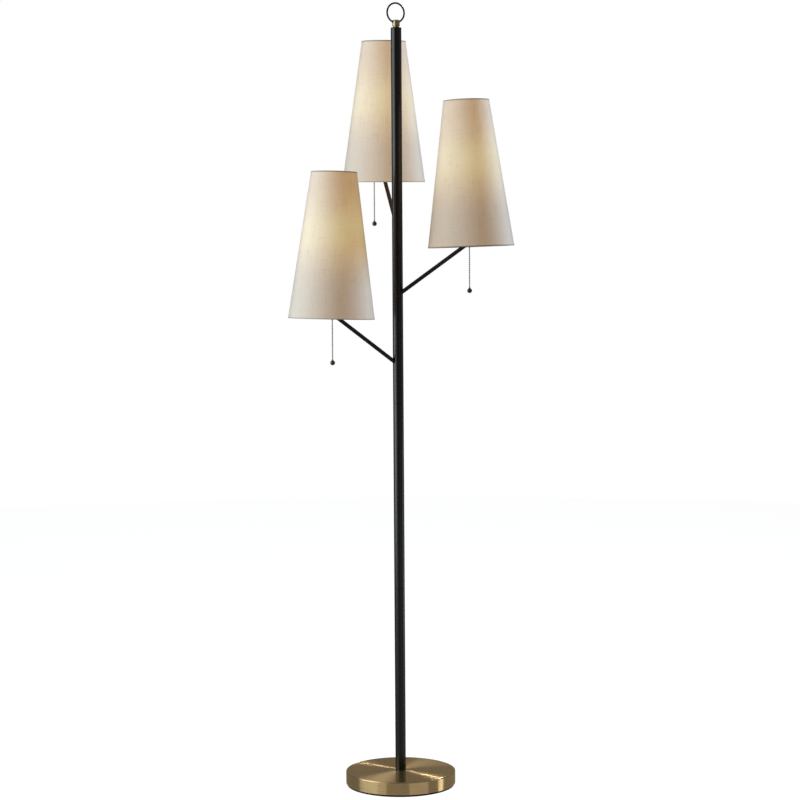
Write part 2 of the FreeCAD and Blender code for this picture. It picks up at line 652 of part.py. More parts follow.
def pull_lever():
    """Lever that the chain pulls down: a hub on the pin and a fork round a bare link of the chain."""
    half_hub = LEVER_HUB_WIDTH / 2
    hub = rod(LEVER_HUB_RADIUS, LEVER_HUB_WIDTH, Vector(0, -half_hub, 0), Vector(0, 1, 0))
    wide_from = SOCKET_RADIUS + LOOSE - LEVER_PIVOT_OFFSET
    rest_arm = LEVER_ARM / math.cos(math.radians(LEVER_SWING))
    tip = LEVER_ARM + LEVER_TIP
    blade = Part.makeBox(wide_from + 1.0, LEVER_HUB_WIDTH, LEVER_THICKNESS,
                         Vector(0, -half_hub, -LEVER_THICKNESS / 2))
    fork = Part.makeBox(tip - wide_from, FORK_WIDTH, LEVER_THICKNESS,
                        Vector(wide_from, -FORK_WIDTH / 2, -LEVER_THICKNESS / 2))
    slot_start = LEVER_ARM - FORK_SLOT_START
    slot_round = rod(FORK_SLOT_WIDTH / 2, 2 * LEVER_THICKNESS,
                     Vector(slot_start, 0, -LEVER_THICKNESS), Vector(0, 0, 1))
    slot = Part.makeBox(rest_arm + LEVER_TIP, FORK_SLOT_WIDTH, 2 * LEVER_THICKNESS,
                        Vector(slot_start, -FORK_SLOT_WIDTH / 2, -LEVER_THICKNESS))
    pin_hole = rod(LEVER_PIN_RADIUS + RUNNING, 2 * LEVER_HUB_WIDTH, Vector(0, -LEVER_HUB_WIDTH, 0), Vector(0, 1, 0))
    lever = hub.fuse([blade, fork]).cut(slot).cut(slot_round).cut(pin_hole)
    raised = Placement(Vector(LEVER_PIVOT_OFFSET, 0, LEVER_HEIGHT), Rotation(Vector(0, 1, 0), -LEVER_SWING))
    return placed(lever, raised)


def bead_points(top):
    """Profile of one bead below a height, from its upper link to its lower one."""
    slant = BEAD_RADIUS - BEAD_FLAT / 2
    return [
        (LINK_RADIUS, top),
        (BEAD_RADIUS, top - slant),
        (BEAD_RADIUS, top - slant - BEAD_FLAT),
        (LINK_RADIUS, top - 2 * BEAD_RADIUS),
    ]


def bead_string(profile):
    """Many-sided solid along Z through (radius, height) points from top to foot, closed at both ends."""
    def corner(radius, height, side):
        turn = 2 * math.pi * side / BEAD_SIDES
        return Vector(radius * math.cos(turn), radius * math.sin(turn), height)

    def facet(corners):
        return Part.Face(Part.makePolygon(corners + corners[:1]))

    ends = (profile[0], profile[-1])
    faces = [facet([corner(radius, height, side) for side in range(BEAD_SIDES)]) for radius, height in ends]
    for (radius, height), (next_radius, next_height) in zip(profile, profile[1:]):
        for side in range(BEAD_SIDES):
            faces.append(facet([
                corner(radius, height, side),
                corner(radius, height, side + 1),
                corner(next_radius, next_height, side + 1),
                corner(next_radius, next_height, side),
            ]))
    solid = Part.Solid(Part.Shell(faces))
    return solid if solid.Volume > 0 else solid.reversed()


def chain_top():
    """Upper end of the chain: one bead over the fork, the rest below it, down to the nozzle's mouth."""
    upper_bead_top = FORK_REST_HEIGHT + FORK_GAP / 2 + 2 * BEAD_RADIUS
    lower_bead_top = FORK_REST_HEIGHT - FORK_GAP / 2
    profile = bead_points(upper_bead_top)
    for index in range(BEADS_BELOW_FORK):
        profile += bead_points(lower_bead_top - index * BEAD_PITCH)
    profile.append((LINK_RADIUS, NOZZLE_MOUTH + LOOSE))
    return placed(bead_string(profile), Placement(Vector(CHAIN_OFFSET, 0, 0), Rotation()))


def pull_chain():
    """Hanging beads and the round pull, straight down from the nozzle's mouth at the origin."""
    first_bead_top = -(BEAD_PITCH - 2 * BEAD_RADIUS) / 2
    profile = [(LINK_RADIUS, 0)]
    for index in range(HANGING_BEADS):
        profile += bead_points(first_bead_top - index * BEAD_PITCH)
    last_bead_foot = first_bead_top - (HANGING_BEADS - 1) * BEAD_PITCH - 2 * BEAD_RADIUS
    collar_top = last_bead_foot - LOOSE
    pull_top = collar_top - PULL_COLLAR_HEIGHT
    pull_centre = pull_top - math.sqrt(PULL_RADIUS ** 2 - PULL_COLLAR_RADIUS ** 2)
    tail = pull_top - PULL_COLLAR_HEIGHT
    profile.append((LINK_RADIUS, tail))
    hole = LINK_RADIUS + SEAT
    ball = Part.makeSphere(PULL_RADIUS, Vector(0, 0, pull_centre))
    collar = Part.makeCylinder(PULL_COLLAR_RADIUS, collar_top - pull_centre, Vector(0, 0, pull_centre))
    socket_hole = Part.makeCylinder(hole, collar_top - tail + SEAT, Vector(0, 0, tail - SEAT))
    return Part.makeCompound([bead_string(profile), ball.fuse(collar).cut(socket_hole)])


# ---------------------------------------------------------------- bulb, in the socket's frame

def bulb_cap():
    """Screw cap of the bulb, with its contact tip, closed at the top."""
    return turned([
        (0, BULB_TIP),
        (BULB_CAP_TIP_RADIUS, BULB_TIP),
        (BULB_CAP_TIP_RADIUS, BULB_TIP + BULB_CAP_TIP_HEIGHT),
        (BULB_CAP_RADIUS, BULB_TIP + BULB_CAP_CONE_TOP),
        (BULB_CAP_RADIUS, BULB_SEAM),
        (0, BULB_SEAM),
    ])


def bulb_outline(radius, neck):
    """Wire of a bulb in the XZ plane: a conical neck, tangent to a round globe, closed on the axis."""
    foot = BULB_SEAM + SEAT
    drop = BULB_CENTRE - foot
    toward_foot = math.atan2(-drop, neck)
    tangent = toward_foot + math.acos(radius / math.hypot(neck, drop))
    touch = Vector(radius * math.cos(tangent), 0, BULB_CENTRE + radius * math.sin(tangent))
    shoulder = (tangent + math.pi / 2) / 2
    bulge = Vector(radius * math.cos(shoulder), 0, BULB_CENTRE + radius * math.sin(shoulder))
    top = Vector(0, 0, BULB_CENTRE + radius)
    return Part.Wire([
        Part.LineSegment(Vector(0, 0, foot), Vector(neck, 0, foot)).toShape(),
        Part.LineSegment(Vector(neck, 0, foot), touch).toShape(),
        Part.Arc(touch, bulge, top).toShape(),
        Part.LineSegment(top, Vector(0, 0, foot)).toShape(),
    ])


def bulb_glass():
    """Thin glass envelope, open at the neck where it is cemented into its cap."""
    axis = (Vector(0, 0, 0), Vector(0, 0, 1), 360)
    outer = Part.Face(bulb_outline(BULB_RADIUS, BULB_NECK_RADIUS)).revolve(*axis)
    inner = Part.Face(bulb_outline(BULB_RADIUS - BULB_GLASS, BULB_NECK_RADIUS - BULB_GLASS)).revolve(*axis)
    return outer.cut(inner)


def clamp_ring():
    """Threaded ring that holds the shade's fitter down on the socket's shoulder."""
    bottom = SHELL_SHOULDER + FITTER_THICKNESS + 2 * SEAT
    top = bottom + CLAMP_RING_HEIGHT
    bore = SHELL_NECK_RADIUS + SEAT
    edge = CLAMP_RING_RADIUS - CLAMP_RING_CHAMFER
    return turned([
        (bore, bottom),
        (edge, bottom),
        (CLAMP_RING_RADIUS, bottom + CLAMP_RING_CHAMFER),
        (CLAMP_RING_RADIUS, top - CLAMP_RING_CHAMFER),
        (edge, top),
        (bore, top),
    ])


# ---------------------------------------------------------------- shade, in its own frame

def shade_radius(height):
    """Outer radius of the shade's cone."""
    return SHADE_BOTTOM_RADIUS - SHADE_SLOPE * height


def shade():
    """Stiff linen cone, open at both ends."""
    return turned([
        (SHADE_BOTTOM_RADIUS - SHADE_WALL_ACROSS, 0),
        (SHADE_BOTTOM_RADIUS, 0),
        (SHADE_TOP_RADIUS, SHADE_HEIGHT),
        (SHADE_TOP_RADIUS - SHADE_WALL_ACROSS, SHADE_HEIGHT),
    ])


def rim_ring(bottom):
    """Square wire ring just inside the shade's wall."""
    outer = shade_radius(bottom + SHADE_WIRE) - SHADE_WALL_ACROSS - LOOSE
    return tube(outer, outer - SHADE_WIRE, bottom, bottom + SHADE_WIRE)


def shade_frame(spin):
    """Wire frame: the fitter ring on its spokes to the lower rim, and the separate upper rim ring."""
    fitter_bottom = SOCKET_FOOT + SHELL_SHOULDER + SEAT
    fitter = tube(FITTER_RADIUS, SHELL_NECK_RADIUS + LOOSE, fitter_bottom, fitter_bottom + FITTER_THICKNESS)
    lower_ring = rim_ring(RING_INSET)
    upper_ring = rim_ring(SHADE_HEIGHT - RING_INSET - SHADE_WIRE)
    ring_middle = shade_radius(RING_INSET + SHADE_WIRE) - SHADE_WALL_ACROSS - LOOSE - SHADE_WIRE / 2
    spokes = []
    for index in range(SPOKE_COUNT):
        turn = math.radians(spin + (index + 0.5) * 360 / SPOKE_COUNT)
        outward = Vector(math.cos(turn), math.sin(turn), 0)
        start = outward * (FITTER_RADIUS - SPOKE_RADIUS) + Vector(0, 0, fitter_bottom + FITTER_THICKNESS / 2)
        end = outward * ring_middle + Vector(0, 0, RING_INSET + SHADE_WIRE / 2)
        spokes.append(rod(SPOKE_RADIUS, (end - start).Length, start, end - start))
    return Part.makeCompound([fitter.fuse(spokes + [lower_ring]), upper_ring])


# ---------------------------------------------------------------- assembly

def branch_nodes(name, turn, shade_bottom, chain_turn):
    """Arm, lead, socket, switch, bulb, frame and shade of one branch."""
    radial = at_compass(turn)
    holder = holder_placement(turn, shade_bottom)
    socket = socket_placement(turn, shade_bottom, chain_turn)
    mouth = socket.multVec(Vector(CHAIN_OFFSET, 0, NOZZLE_MOUTH))
    lead_shape, lead_length = lead(shade_bottom)
    print(name, "lead length", round(lead_length, 1), "bends", LEAD_FOOT_BEND, LEAD_POLE_BEND, ARM_BEND_RADIUS)
    parts = {
        "lead": placed(lead_shape, radial),
        "arm": placed(arm(shade_bottom), radial),
        "socket_cap": placed(socket_cap(), socket),
        "socket_shell": placed(socket_shell(), socket),
        "socket_core": placed(socket_core(), socket),
        "lamp_contacts": placed(lamp_contacts(), socket),
        "pull_lever": placed(pull_lever(), socket),
        "chain_top": placed(chain_top(), socket),
        "pull_chain": placed(pull_chain(), Placement(mouth, Rotation())),
        "bulb_cap": placed(bulb_cap(), socket),
        "bulb_glass": placed(bulb_glass(), socket),
        "clamp_ring": placed(clamp_ring(), socket),
        "shade_frame": placed(shade_frame(chain_turn - turn), holder),
        "shade": placed(shade(), holder),
    }
    return {name + "_" + part: shape for part, shape in parts.items()}


def fastener_nodes():
    """Small identical pieces of the three sockets, one node for each kind."""
    sockets = [socket_placement(turn, shade_bottom, chain_turn)
               for _, turn, shade_bottom, chain_turn in BRANCHES]
    return {
        "socket_locknuts": Part.makeCompound([placed(socket_locknut(), socket) for socket in sockets]),
        "lever_pins": Part.makeCompound([placed(lever_pin(), socket) for socket in sockets]),
    }


def lamp_nodes():
    """Every node of the lamp, by name."""
    nodes = {}
    nodes.update(base_nodes())
    nodes.update(pole_nodes())
    nodes.update(finial_nodes())
    for branch in BRANCHES:
        nodes.update(branch_nodes(*branch))
    nodes.update(fastener_nodes())
    return nodes


def main():
    """Write one STEP file for each node."""
    os.makedirs("parts", exist_ok=True)
    nodes = lamp_nodes()
    for name, shape in nodes.items():
        shape.exportStep(os.path.join("parts", name + ".step"))
    print(len(nodes), "nodes")


main()
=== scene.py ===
"""Looks of the tree floor lamp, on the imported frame.

Makes the linen shades, their wire frames, the knurled rings, the bead chains with their pulls
and the foot pad, and gives every other node its finish.
"""
import math

import bpy
from mathutils import Euler, Matrix, Vector


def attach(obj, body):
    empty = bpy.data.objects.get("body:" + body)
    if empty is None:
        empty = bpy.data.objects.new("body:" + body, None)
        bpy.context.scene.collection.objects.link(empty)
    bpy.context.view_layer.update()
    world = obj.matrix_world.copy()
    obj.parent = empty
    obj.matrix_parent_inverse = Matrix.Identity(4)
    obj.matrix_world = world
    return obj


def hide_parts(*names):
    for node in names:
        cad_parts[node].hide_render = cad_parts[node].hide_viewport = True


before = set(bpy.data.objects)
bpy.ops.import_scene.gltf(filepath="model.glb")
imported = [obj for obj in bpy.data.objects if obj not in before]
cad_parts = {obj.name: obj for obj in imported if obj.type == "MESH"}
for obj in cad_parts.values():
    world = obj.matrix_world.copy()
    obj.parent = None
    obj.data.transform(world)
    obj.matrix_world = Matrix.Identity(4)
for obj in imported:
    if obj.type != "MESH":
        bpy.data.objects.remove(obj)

MM = 0.001
SHARP = math.radians(40)        # steeper edges than this are shaded sharp
SHADE_SHARP = math.radians(35)
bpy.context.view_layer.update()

# ------------------------------------------------------------------ sizes, in metres

# Branches: name, compass turn of the arm and of the pull chain (degrees from the front, to the right),
# and height of the shade's lower edge
BRANCHES = (
    ("low", -54.8, 2.6, 1.135),
    ("mid", 65.5, -6.9, 1.301),
    ("top", 189.8, -90.0, 1.461),
)
ARM_REACH = 190.6 * MM
SHADE_LEAN = 1.85               # degrees, its top towards the pole
SOCKET_FOOT = 46 * MM

SHADE_FOOT_RADIUS = 101.6 * MM
SHADE_TOP_RADIUS = 53.7 * MM
SHADE_HEIGHT = 343.4 * MM
SHADE_WALL = 0.9 * MM
HEM_HEIGHT = 5.5 * MM
HEM_PROUD = 0.4 * MM
HEM_FADE = 0.4 * MM
LAP_WIDTH = 12 * MM
LAP_PROUD = 0.35 * MM
LAP_STEP = 0.15 * MM
SHADE_COLUMNS = 180
SHADE_ROWS = 24
LINER_ROWS = 8
RIM_ROUND = 0.5 * MM
RIM_TURN = 3 * MM               # how far the cloth turns in over the liner
RIM_SHARE = 0.6                 # of the wall, at the very edge of the rim

FRAME_WIRE_RADIUS = 1.0 * MM
SPOKE_RADIUS = 1.1 * MM
RING_INSET = 2.5 * MM           # middle of a rim ring, in from the shade's edge
RING_CLEARANCE = 0.3 * MM
WIRE_SIDES = 12
FITTER_HEIGHT = 116.1 * MM      # underside of the fitter, above the shade's foot
FITTER_THICKNESS = 2.2 * MM
FITTER_RADIUS = 20.7 * MM
FITTER_BORE = 16.7 * MM

CHAIN_OFFSET = 24 * MM          # chain to socket axis
NOZZLE_MOUTH = 16 * MM          # above the socket's foot
FORK_HEIGHT = 38.5 * MM
FORK_GAP = 3.4 * MM
BEAD_RADIUS = 1.75 * MM
BEAD_PITCH = 4.8 * MM
LINK_RADIUS = 0.4 * MM
BEAD_SIDES = 12
BEAD_ROWS = 8
LINK_SIDES = 8
BEADS_BELOW_FORK = 4
HANGING_BEADS = 33
FIRST_BEAD = 2.4 * MM           # its middle, below the nozzle's mouth
PULL_RADIUS = 5.75 * MM
PULL_COLLAR_RADIUS = 2.4 * MM
PULL_COLLAR_HEIGHT = 1.4 * MM
PULL_GAP = 0.3 * MM             # last bead to the pull

CLAMP_RADIUS = 20.2 * MM
CLAMP_BORE = 16.5 * MM
CLAMP_BOTTOM = 72.4 * MM        # above the socket's foot
CLAMP_HEIGHT = 5 * MM
KNURLS = 60
KNURL_DEPTH = 0.45 * MM

PAD_RADIUS = 130 * MM
PAD_THICKNESS = 5 * MM
BASE_RADIUS = 132.5 * MM
BASE_TOP = 35.5 * MM
COVER_EDGE = 2.5 * MM           # rounding of the cover's top edge


# ------------------------------------------------------------------ places

def at_compass(turn):
    """Turns +X to a compass direction, measured from the front to the right."""
    return Matrix.Rotation(math.radians(turn - 90), 4, "Z")


def holder_place(turn, foot):
    """Frame of a shade: +Z along its leaning axis, +X away from the pole."""
    lean = Matrix.Rotation(math.radians(-SHADE_LEAN), 4, "Y")
    return at_compass(turn) @ Matrix.Translation((ARM_REACH, 0, foot)) @ lean


def socket_place(turn, chain_turn, foot):
    """Frame of a socket: its foot at the origin, +X towards its chain."""
    spin = Matrix.Rotation(math.radians(chain_turn - turn), 4, "Z")
    return holder_place(turn, foot) @ Matrix.Translation((0, 0, SOCKET_FOOT)) @ spin


# ------------------------------------------------------------------ shader writing

class Value:
    """A number on a shader socket; sums and products of it add Math nodes."""

    def __init__(self, tree, socket):
        self.tree = tree
        self.socket = socket

    def _math(self, operation, *values):
        made = self.tree.node("ShaderNodeMath", {"operation": operation}, list(values))
        return Value(self.tree, made.outputs[0])

    def __add__(self, other):
        return self._math("ADD", self, other)

    __radd__ = __add__

    def __sub__(self, other):
        return self._math("SUBTRACT", self, other)

    def __rsub__(self, other):
        return self._math("SUBTRACT", other, self)

    def __mul__(self, other):
        return self._math("MULTIPLY", self, other)

    __rmul__ = __mul__

    def __truediv__(self, other):
        return self._math("DIVIDE", self, other)

    def __pow__(self, power):
        return self._math("POWER", self, power)

    def sine(self):
        """Sine of the value, in radians."""
        return self._math("SINE", self)

    def hump(self, centre, width):
        """A bell of height 1 about a centre."""
        away = (self - centre) / width
        return self._math("EXPONENT", 0 - away * away)

    def between(self, low, high):
        """0 below low, 1 above high, smooth in between."""
        settings = {"interpolation_type": "SMOOTHSTEP"}
        inputs = {"Value": self, "From Min": low, "From Max": high}
        made = self.tree.node("ShaderNodeMapRange", settings, inputs)
        return Value(self.tree, made.outputs["Result"])


class NodeTree:
    """A tree of nodes, written through one node-making method."""

    def __init__(self, tree):
        self.tree = tree

    def put(self, socket, value):
        """Sets a socket to a constant, or links a value or another socket to it."""
        if isinstance(value, Value):
            value = value.socket
        if isinstance(value, bpy.types.NodeSocket):
            self.tree.links.new(value, socket)
        elif isinstance(value, tuple) and len(value) == 3 and socket.type == "RGBA":
            socket.default_value = (*value, 1.0)
        else:
            socket.default_value = value

    def node(self, kind, settings=None, inputs=None):
        """A node of a type, with its settings, then the values or links of its sockets."""
        made = self.tree.nodes.new(kind)
        for name, value in (settings or {}).items():
            setattr(made, name, value)
        pairs = inputs.items() if isinstance(inputs, dict) else enumerate(inputs or ())
        for key, value in pairs:
            name = key.replace("_", " ") if isinstance(key, str) else key
            self.put(made.inputs[name], value)
        return made


class Finish(NodeTree):
    """A material on one Principled shader."""

    def __init__(self, name, **constants):
        self.material = bpy.data.materials.new(name)
        self.material.use_nodes = True
        super().__init__(self.material.node_tree)
        self.tree.nodes.clear()
        output = self.node("ShaderNodeOutputMaterial")
        self.shader = self.node("ShaderNodeBsdfPrincipled", None, constants)
        self.put(output.inputs["Surface"], self.shader.outputs[0])

    def give(self, **sockets):
        """Links or sets the shader's own sockets."""
        for name, value in sockets.items():
            self.put(self.shader.inputs[name.replace("_", " ")], value)
        return self

    def position(self):
        """Object coordinates, which are the lamp's own frame in metres."""
        return self.node("ShaderNodeTexCoord").outputs["Object"]

    def cloth_position(self):
        """Place on the flat cut of the cloth, in metres."""
        return self.node("ShaderNodeUVMap", {"uv_map": "flat_cut"}).outputs["UV"]

    def split(self, vector):
        """The three numbers of a vector."""
        parts = self.node("ShaderNodeSeparateXYZ", None, [vector])
        return [Value(self, out) for out in parts.outputs]

    def stretched(self, vector, scale):
        """A vector scaled along each axis."""
        return self.node("ShaderNodeMapping", None, {"Vector": vector, "Scale": scale}).outputs[0]

    def height_along(self, foot, top):
        """Distance from the foot along a straight axis, in metres."""
        place = self.node("ShaderNodeVectorMath", {"operation": "SUBTRACT"}, [self.position(), tuple(foot)])
        axis = tuple((top - foot).normalized())
        along = self.node("ShaderNodeVectorMath", {"operation": "DOT_PRODUCT"}, [place.outputs[0], axis])
        return Value(self, along.outputs["Value"])

    def noise(self, vector, scale, detail=3.0, roughness=0.55):
        """Cloudy noise about 0.5."""
        inputs = {"Vector": vector, "Scale": scale, "Detail": detail, "Roughness": roughness}
        return Value(self, self.node("ShaderNodeTexNoise", None, inputs).outputs[0])

    def lines(self, across, scale, detail=2.0):
        """Noise that changes along one number only, for marks left by turning and brushing."""
        inputs = {"W": across, "Scale": scale, "Detail": detail, "Roughness": 0.7}
        made = self.node("ShaderNodeTexNoise", {"noise_dimensions": "1D"}, inputs)
        return Value(self, made.outputs[0])

    def mixed(self, factor, first, second):
        """Colour between two colours."""
        made = self.node("ShaderNodeMix", {"data_type": "RGBA"})
        for index, value in ((0, factor), (6, first), (7, second)):
            self.put(made.inputs[index], value)
        return made.outputs[2]

    def relief(self, height, distance, strength=1.0):
        """Bump from a height of 0 to 1, that many metres deep."""
        inputs = {"Height": height, "Distance": distance, "Strength": strength}
        self.give(Normal=self.node("ShaderNodeBump", None, inputs).outputs[0])
        return self


# ------------------------------------------------------------------ finishes

BLACK = (0.0, 0.0, 0.0)
WHITE = (1.0, 1.0, 1.0)

LINEN_PALE = (0.70, 0.63, 0.56)
LINEN_DARK = (0.46, 0.40, 0.335)
HEM_DARK_BAND = (0.27, 0.25, 0.215)
HEM_STRENGTH = 0.75             # how far the bands along the top and bottom edges are darkened, and hold back the glow
THREAD_PITCH = 0.85 * MM
THREAD_WANDER = 2.2             # how far noise shifts the weave, in radians
NEAR_GLOW = (0.435, 0.3, 0.092)
GLOW_HEIGHT = 205 * MM          # where the bulb shows most, above the shade's foot
GLOW_SPREAD = 65 * MM
BROAD_GLOW = (0.378, 0.195, 0.047)
GLOW_START = 150 * MM           # below GLOW_HEIGHT, where the broad glow starts to grow
GLOW_FULL = 10 * MM             # below GLOW_HEIGHT, where it is full


def spun_brass():
    """Aged brass finish of the base: circular brush marks, a little patina, and a duller rounded edge."""
    finish = Finish("spun_brass", Metallic=0.93, Anisotropic=1.0, Anisotropic_Rotation=0.25,
                    Specular_Tint=(0.95, 0.82, 0.66))
    place = finish.position()
    x, y, z = finish.split(place)
    radius = (x * x + y * y) ** 0.5
    marks = finish.lines(radius + z, scale=2600.0)
    bands = finish.lines(radius + z * 0.7, scale=160.0)
    patina = finish.noise(place, scale=22.0, detail=5.0, roughness=0.6)
    tone = finish.mixed(bands, (0.54, 0.37, 0.175), (0.63, 0.44, 0.21))
    finish.give(Base_Color=finish.mixed(patina.between(0.55, 0.85) * 0.35, tone, (0.42, 0.27, 0.125)))
    edge = radius.between(BASE_RADIUS - COVER_EDGE, BASE_RADIUS - 0.6 * COVER_EDGE)
    edge = edge * z.between(BASE_TOP - COVER_EDGE, BASE_TOP - 0.7 * COVER_EDGE)
    finish.give(Roughness=0.17 + marks * 0.05 + patina * 0.03 + edge * 0.14)
    return finish.relief(marks, distance=0.00004, strength=0.35).material


def satin_brass(name, bright, dull, roughness):
    """Drawn or turned brass: fine marks and spotted tarnish."""
    finish = Finish(name, Metallic=1.0)
    place = finish.position()
    tarnish = finish.noise(place, scale=160.0, detail=5.0, roughness=0.62)
    marks = finish.noise(finish.stretched(place, (1.0, 1.0, 14.0)), scale=420.0, detail=3.0)
    finish.give(Base_Color=finish.mixed(tarnish.between(0.42, 0.72), bright, dull))
    finish.give(Roughness=roughness + tarnish * 0.16 + marks * 0.05)
    return finish.relief(marks, distance=0.00003, strength=0.5).material


def powder_coat(name, colour, worn, roughness, gloss):
    """Satin powder coat with its fine orange peel and a touch of rub wear."""
    finish = Finish(name, Specular_IOR_Level=gloss, Specular_Tint=(1.0, 0.88, 0.8))
    place = finish.position()
    peel = finish.noise(place, scale=900.0, detail=2.0, roughness=0.5)
    rubs = finish.noise(finish.stretched(place, (3.0, 3.0, 1.0)), scale=14.0, detail=6.0, roughness=0.7)
    finish.give(Base_Color=finish.mixed(rubs.between(0.5, 0.8), colour, worn))
    finish.give(Roughness=roughness + peel * 0.06 + rubs * 0.08)
    return finish.relief(peel, distance=0.00006, strength=0.5).material


def linen(name, axis_foot, axis_top):
    """Undyed linen: slub threads both ways, a little fuzz, darker hems, and the bulb's glow through it."""
    finish = Finish(name, Sheen_Weight=1.0, Sheen_Roughness=0.32, Specular_IOR_Level=0.12)
    flat = finish.cloth_position()

    def threads(along, across, detail):
        """Noise drawn out along the threads, at two rates per metre of cloth."""
        return finish.noise(finish.stretched(flat, (along, across, 1.0)), 1.0, detail, 0.6)

    u, v, _ = finish.split(flat)
    turns = 2 * math.pi / THREAD_PITCH
    wander = (finish.noise(flat, scale=60.0, detail=2.0) - 0.5) * THREAD_WANDER
    weft = ((v * turns) + wander).sine()
    warp = ((u * turns) + wander).sine()
    cell = (u * turns * 0.5).sine() * (v * turns * 0.5).sine()
    long_slub = threads(26.0, 440.0, 3.0)
    tall_slub = threads(440.0, 18.0, 3.0)
    fine = threads(60.0, 1200.0, 2.0) * 0.5 + threads(1200.0, 60.0, 2.0) * 0.5
    slub = long_slub.between(0.54, 0.76) * 0.7 + tall_slub.between(0.53, 0.74) * 0.75
    cloud = finish.noise(flat, scale=14.0, detail=3.0)
    depth = slub * 0.55 + (fine - 0.5) * 1.1 + (cloud - 0.5) * 0.3

    height = finish.height_along(axis_foot, axis_top)
    # darker bands along the top and bottom edges of the cloth, which also dim the glow there
    hem = height.between(SHADE_HEIGHT - HEM_HEIGHT * 0.7, SHADE_HEIGHT - HEM_HEIGHT * 0.3)
    hem = hem + (1.0 - height.between(HEM_HEIGHT * 0.2, HEM_HEIGHT * 0.5))
    cloth = finish.mixed(depth.between(-0.55, 1.8), LINEN_PALE, LINEN_DARK)
    finish.give(Base_Color=finish.mixed(hem * HEM_STRENGTH, cloth, HEM_DARK_BAND), Roughness=0.86 + fine * 0.1)

    bare = 1.0 - hem * HEM_STRENGTH
    broad = 0.64 + height.between(GLOW_HEIGHT - GLOW_START, GLOW_HEIGHT - GLOW_FULL) * 0.36
    near = height.hump(GLOW_HEIGHT, GLOW_SPREAD)
    warm = finish.mixed(broad * (0.87 - depth * 0.45) * bare, BLACK, BROAD_GLOW)
    glow = finish.mixed(near * (0.97 - depth * 1.8) * bare, warm, NEAR_GLOW)
    finish.give(Emission_Color=glow, Emission_Strength=1.0)
    relief = (weft + warp) * 0.12 + cell * 0.2 + slub * 0.55 + fine * 0.4
    return finish.relief(relief, distance=0.00028, strength=0.75).material


def lampshade_liner():
    """White styrene inside the cloth, matt and slightly waxy, with a painted warm glow that stands in for the
    bulb's light on it.
    """
    finish = Finish("lampshade_liner", Specular_IOR_Level=0.4)
    haze = finish.noise(finish.position(), scale=40.0, detail=3.0)
    finish.give(Base_Color=finish.mixed(haze, (0.83, 0.81, 0.77), (0.9, 0.88, 0.84)))
    # painted glow: the bulb's light on the liner, given as emission
    glow = finish.mixed(haze, (0.30, 0.21, 0.10), (0.34, 0.25, 0.13))
    finish.give(Roughness=0.5 + haze * 0.15, Emission_Color=glow, Emission_Strength=1.0)
    return finish.relief(haze, distance=0.0001, strength=0.3).material


def plain_moulding(name, dark, pale, roughness, grain):
    """Moulded or dipped surface with a fine texture."""
    finish = Finish(name)
    place = finish.position()
    texture = finish.noise(place, grain, 3.0, 0.6)
    finish.give(Base_Color=finish.mixed(texture, dark, pale), Roughness=roughness + texture * 0.12)
    return finish.relief(texture, distance=0.00008, strength=0.4).material


def plated_metal(name, dark, pale, roughness):
    """Zinc, steel or aluminium with a soft spangle and fine scratches."""
    finish = Finish(name, Metallic=1.0)
    place = finish.position()
    spangle = finish.noise(place, scale=240.0, detail=4.0, roughness=0.6)
    drawn = finish.stretched(place, (1.0, 6.0, 20.0))
    scratches = finish.noise(drawn, scale=160.0, detail=4.0, roughness=0.7)
    finish.give(Base_Color=finish.mixed(spangle, dark, pale), Roughness=roughness + scratches * 0.2)
    return finish.relief(scratches, distance=0.00003, strength=0.5).material


def rough_casting():
    """Sand-cast iron with a pitted, faintly rusty skin."""
    finish = Finish("rough_casting", Metallic=0.6)
    place = finish.position()
    pits = finish.noise(place, scale=380.0, detail=6.0, roughness=0.7)
    rust = finish.noise(place, scale=40.0, detail=4.0, roughness=0.6).between(0.58, 0.75)
    finish.give(Base_Color=finish.mixed(rust, (0.055, 0.055, 0.058), (0.11, 0.055, 0.03)))
    finish.give(Roughness=0.62 + pits * 0.25)
    return finish.relief(pits, distance=0.0005, strength=0.8).material


def cellular_foam():
    """Closed-cell black foam with open pores on its skin."""
    finish = Finish("cellular_foam", Specular_IOR_Level=0.25)
    cells = finish.node("ShaderNodeTexVoronoi", None, {"Vector": finish.position(), "Scale": 900.0})
    pores = Value(finish, cells.outputs["Distance"])
    finish.give(Base_Color=finish.mixed(pores, (0.008, 0.008, 0.008), (0.03, 0.03, 0.03)))
    finish.give(Roughness=0.85 + pores * 0.1)
    return finish.relief(pores, distance=0.0003, strength=0.7).material


def opal_glass():
    """Frosted white bulb glass, lit from within."""
    finish = Finish("opal_glass", Roughness=0.42, Specular_IOR_Level=0.5, Coat_Weight=0.3, Coat_Roughness=0.2)
    frost = finish.noise(finish.position(), scale=30.0, detail=3.0)
    finish.give(Base_Color=finish.mixed(frost, (0.9, 0.87, 0.8), (0.96, 0.94, 0.9)))
    glow = finish.mixed(frost, (1.0, 0.78, 0.47), (1.0, 0.84, 0.56))
    finish.give(Emission_Color=glow, Emission_Strength=2.2)
    return finish.relief(frost, distance=0.0001, strength=0.2).material


# ------------------------------------------------------------------ meshes

def new_piece(name, mesh, material, body, place=None):
    """Object of a finished mesh at the origin, with its place in its mesh, riding on a body."""
    if place is not None:
        mesh.transform(place)
    piece = bpy.data.objects.new(name, mesh)
    bpy.context.scene.collection.objects.link(piece)
    mesh.materials.clear()
    for each in material if isinstance(material, (list, tuple)) else [material]:
        mesh.materials.append(each)
    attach(piece, body)
    return piece


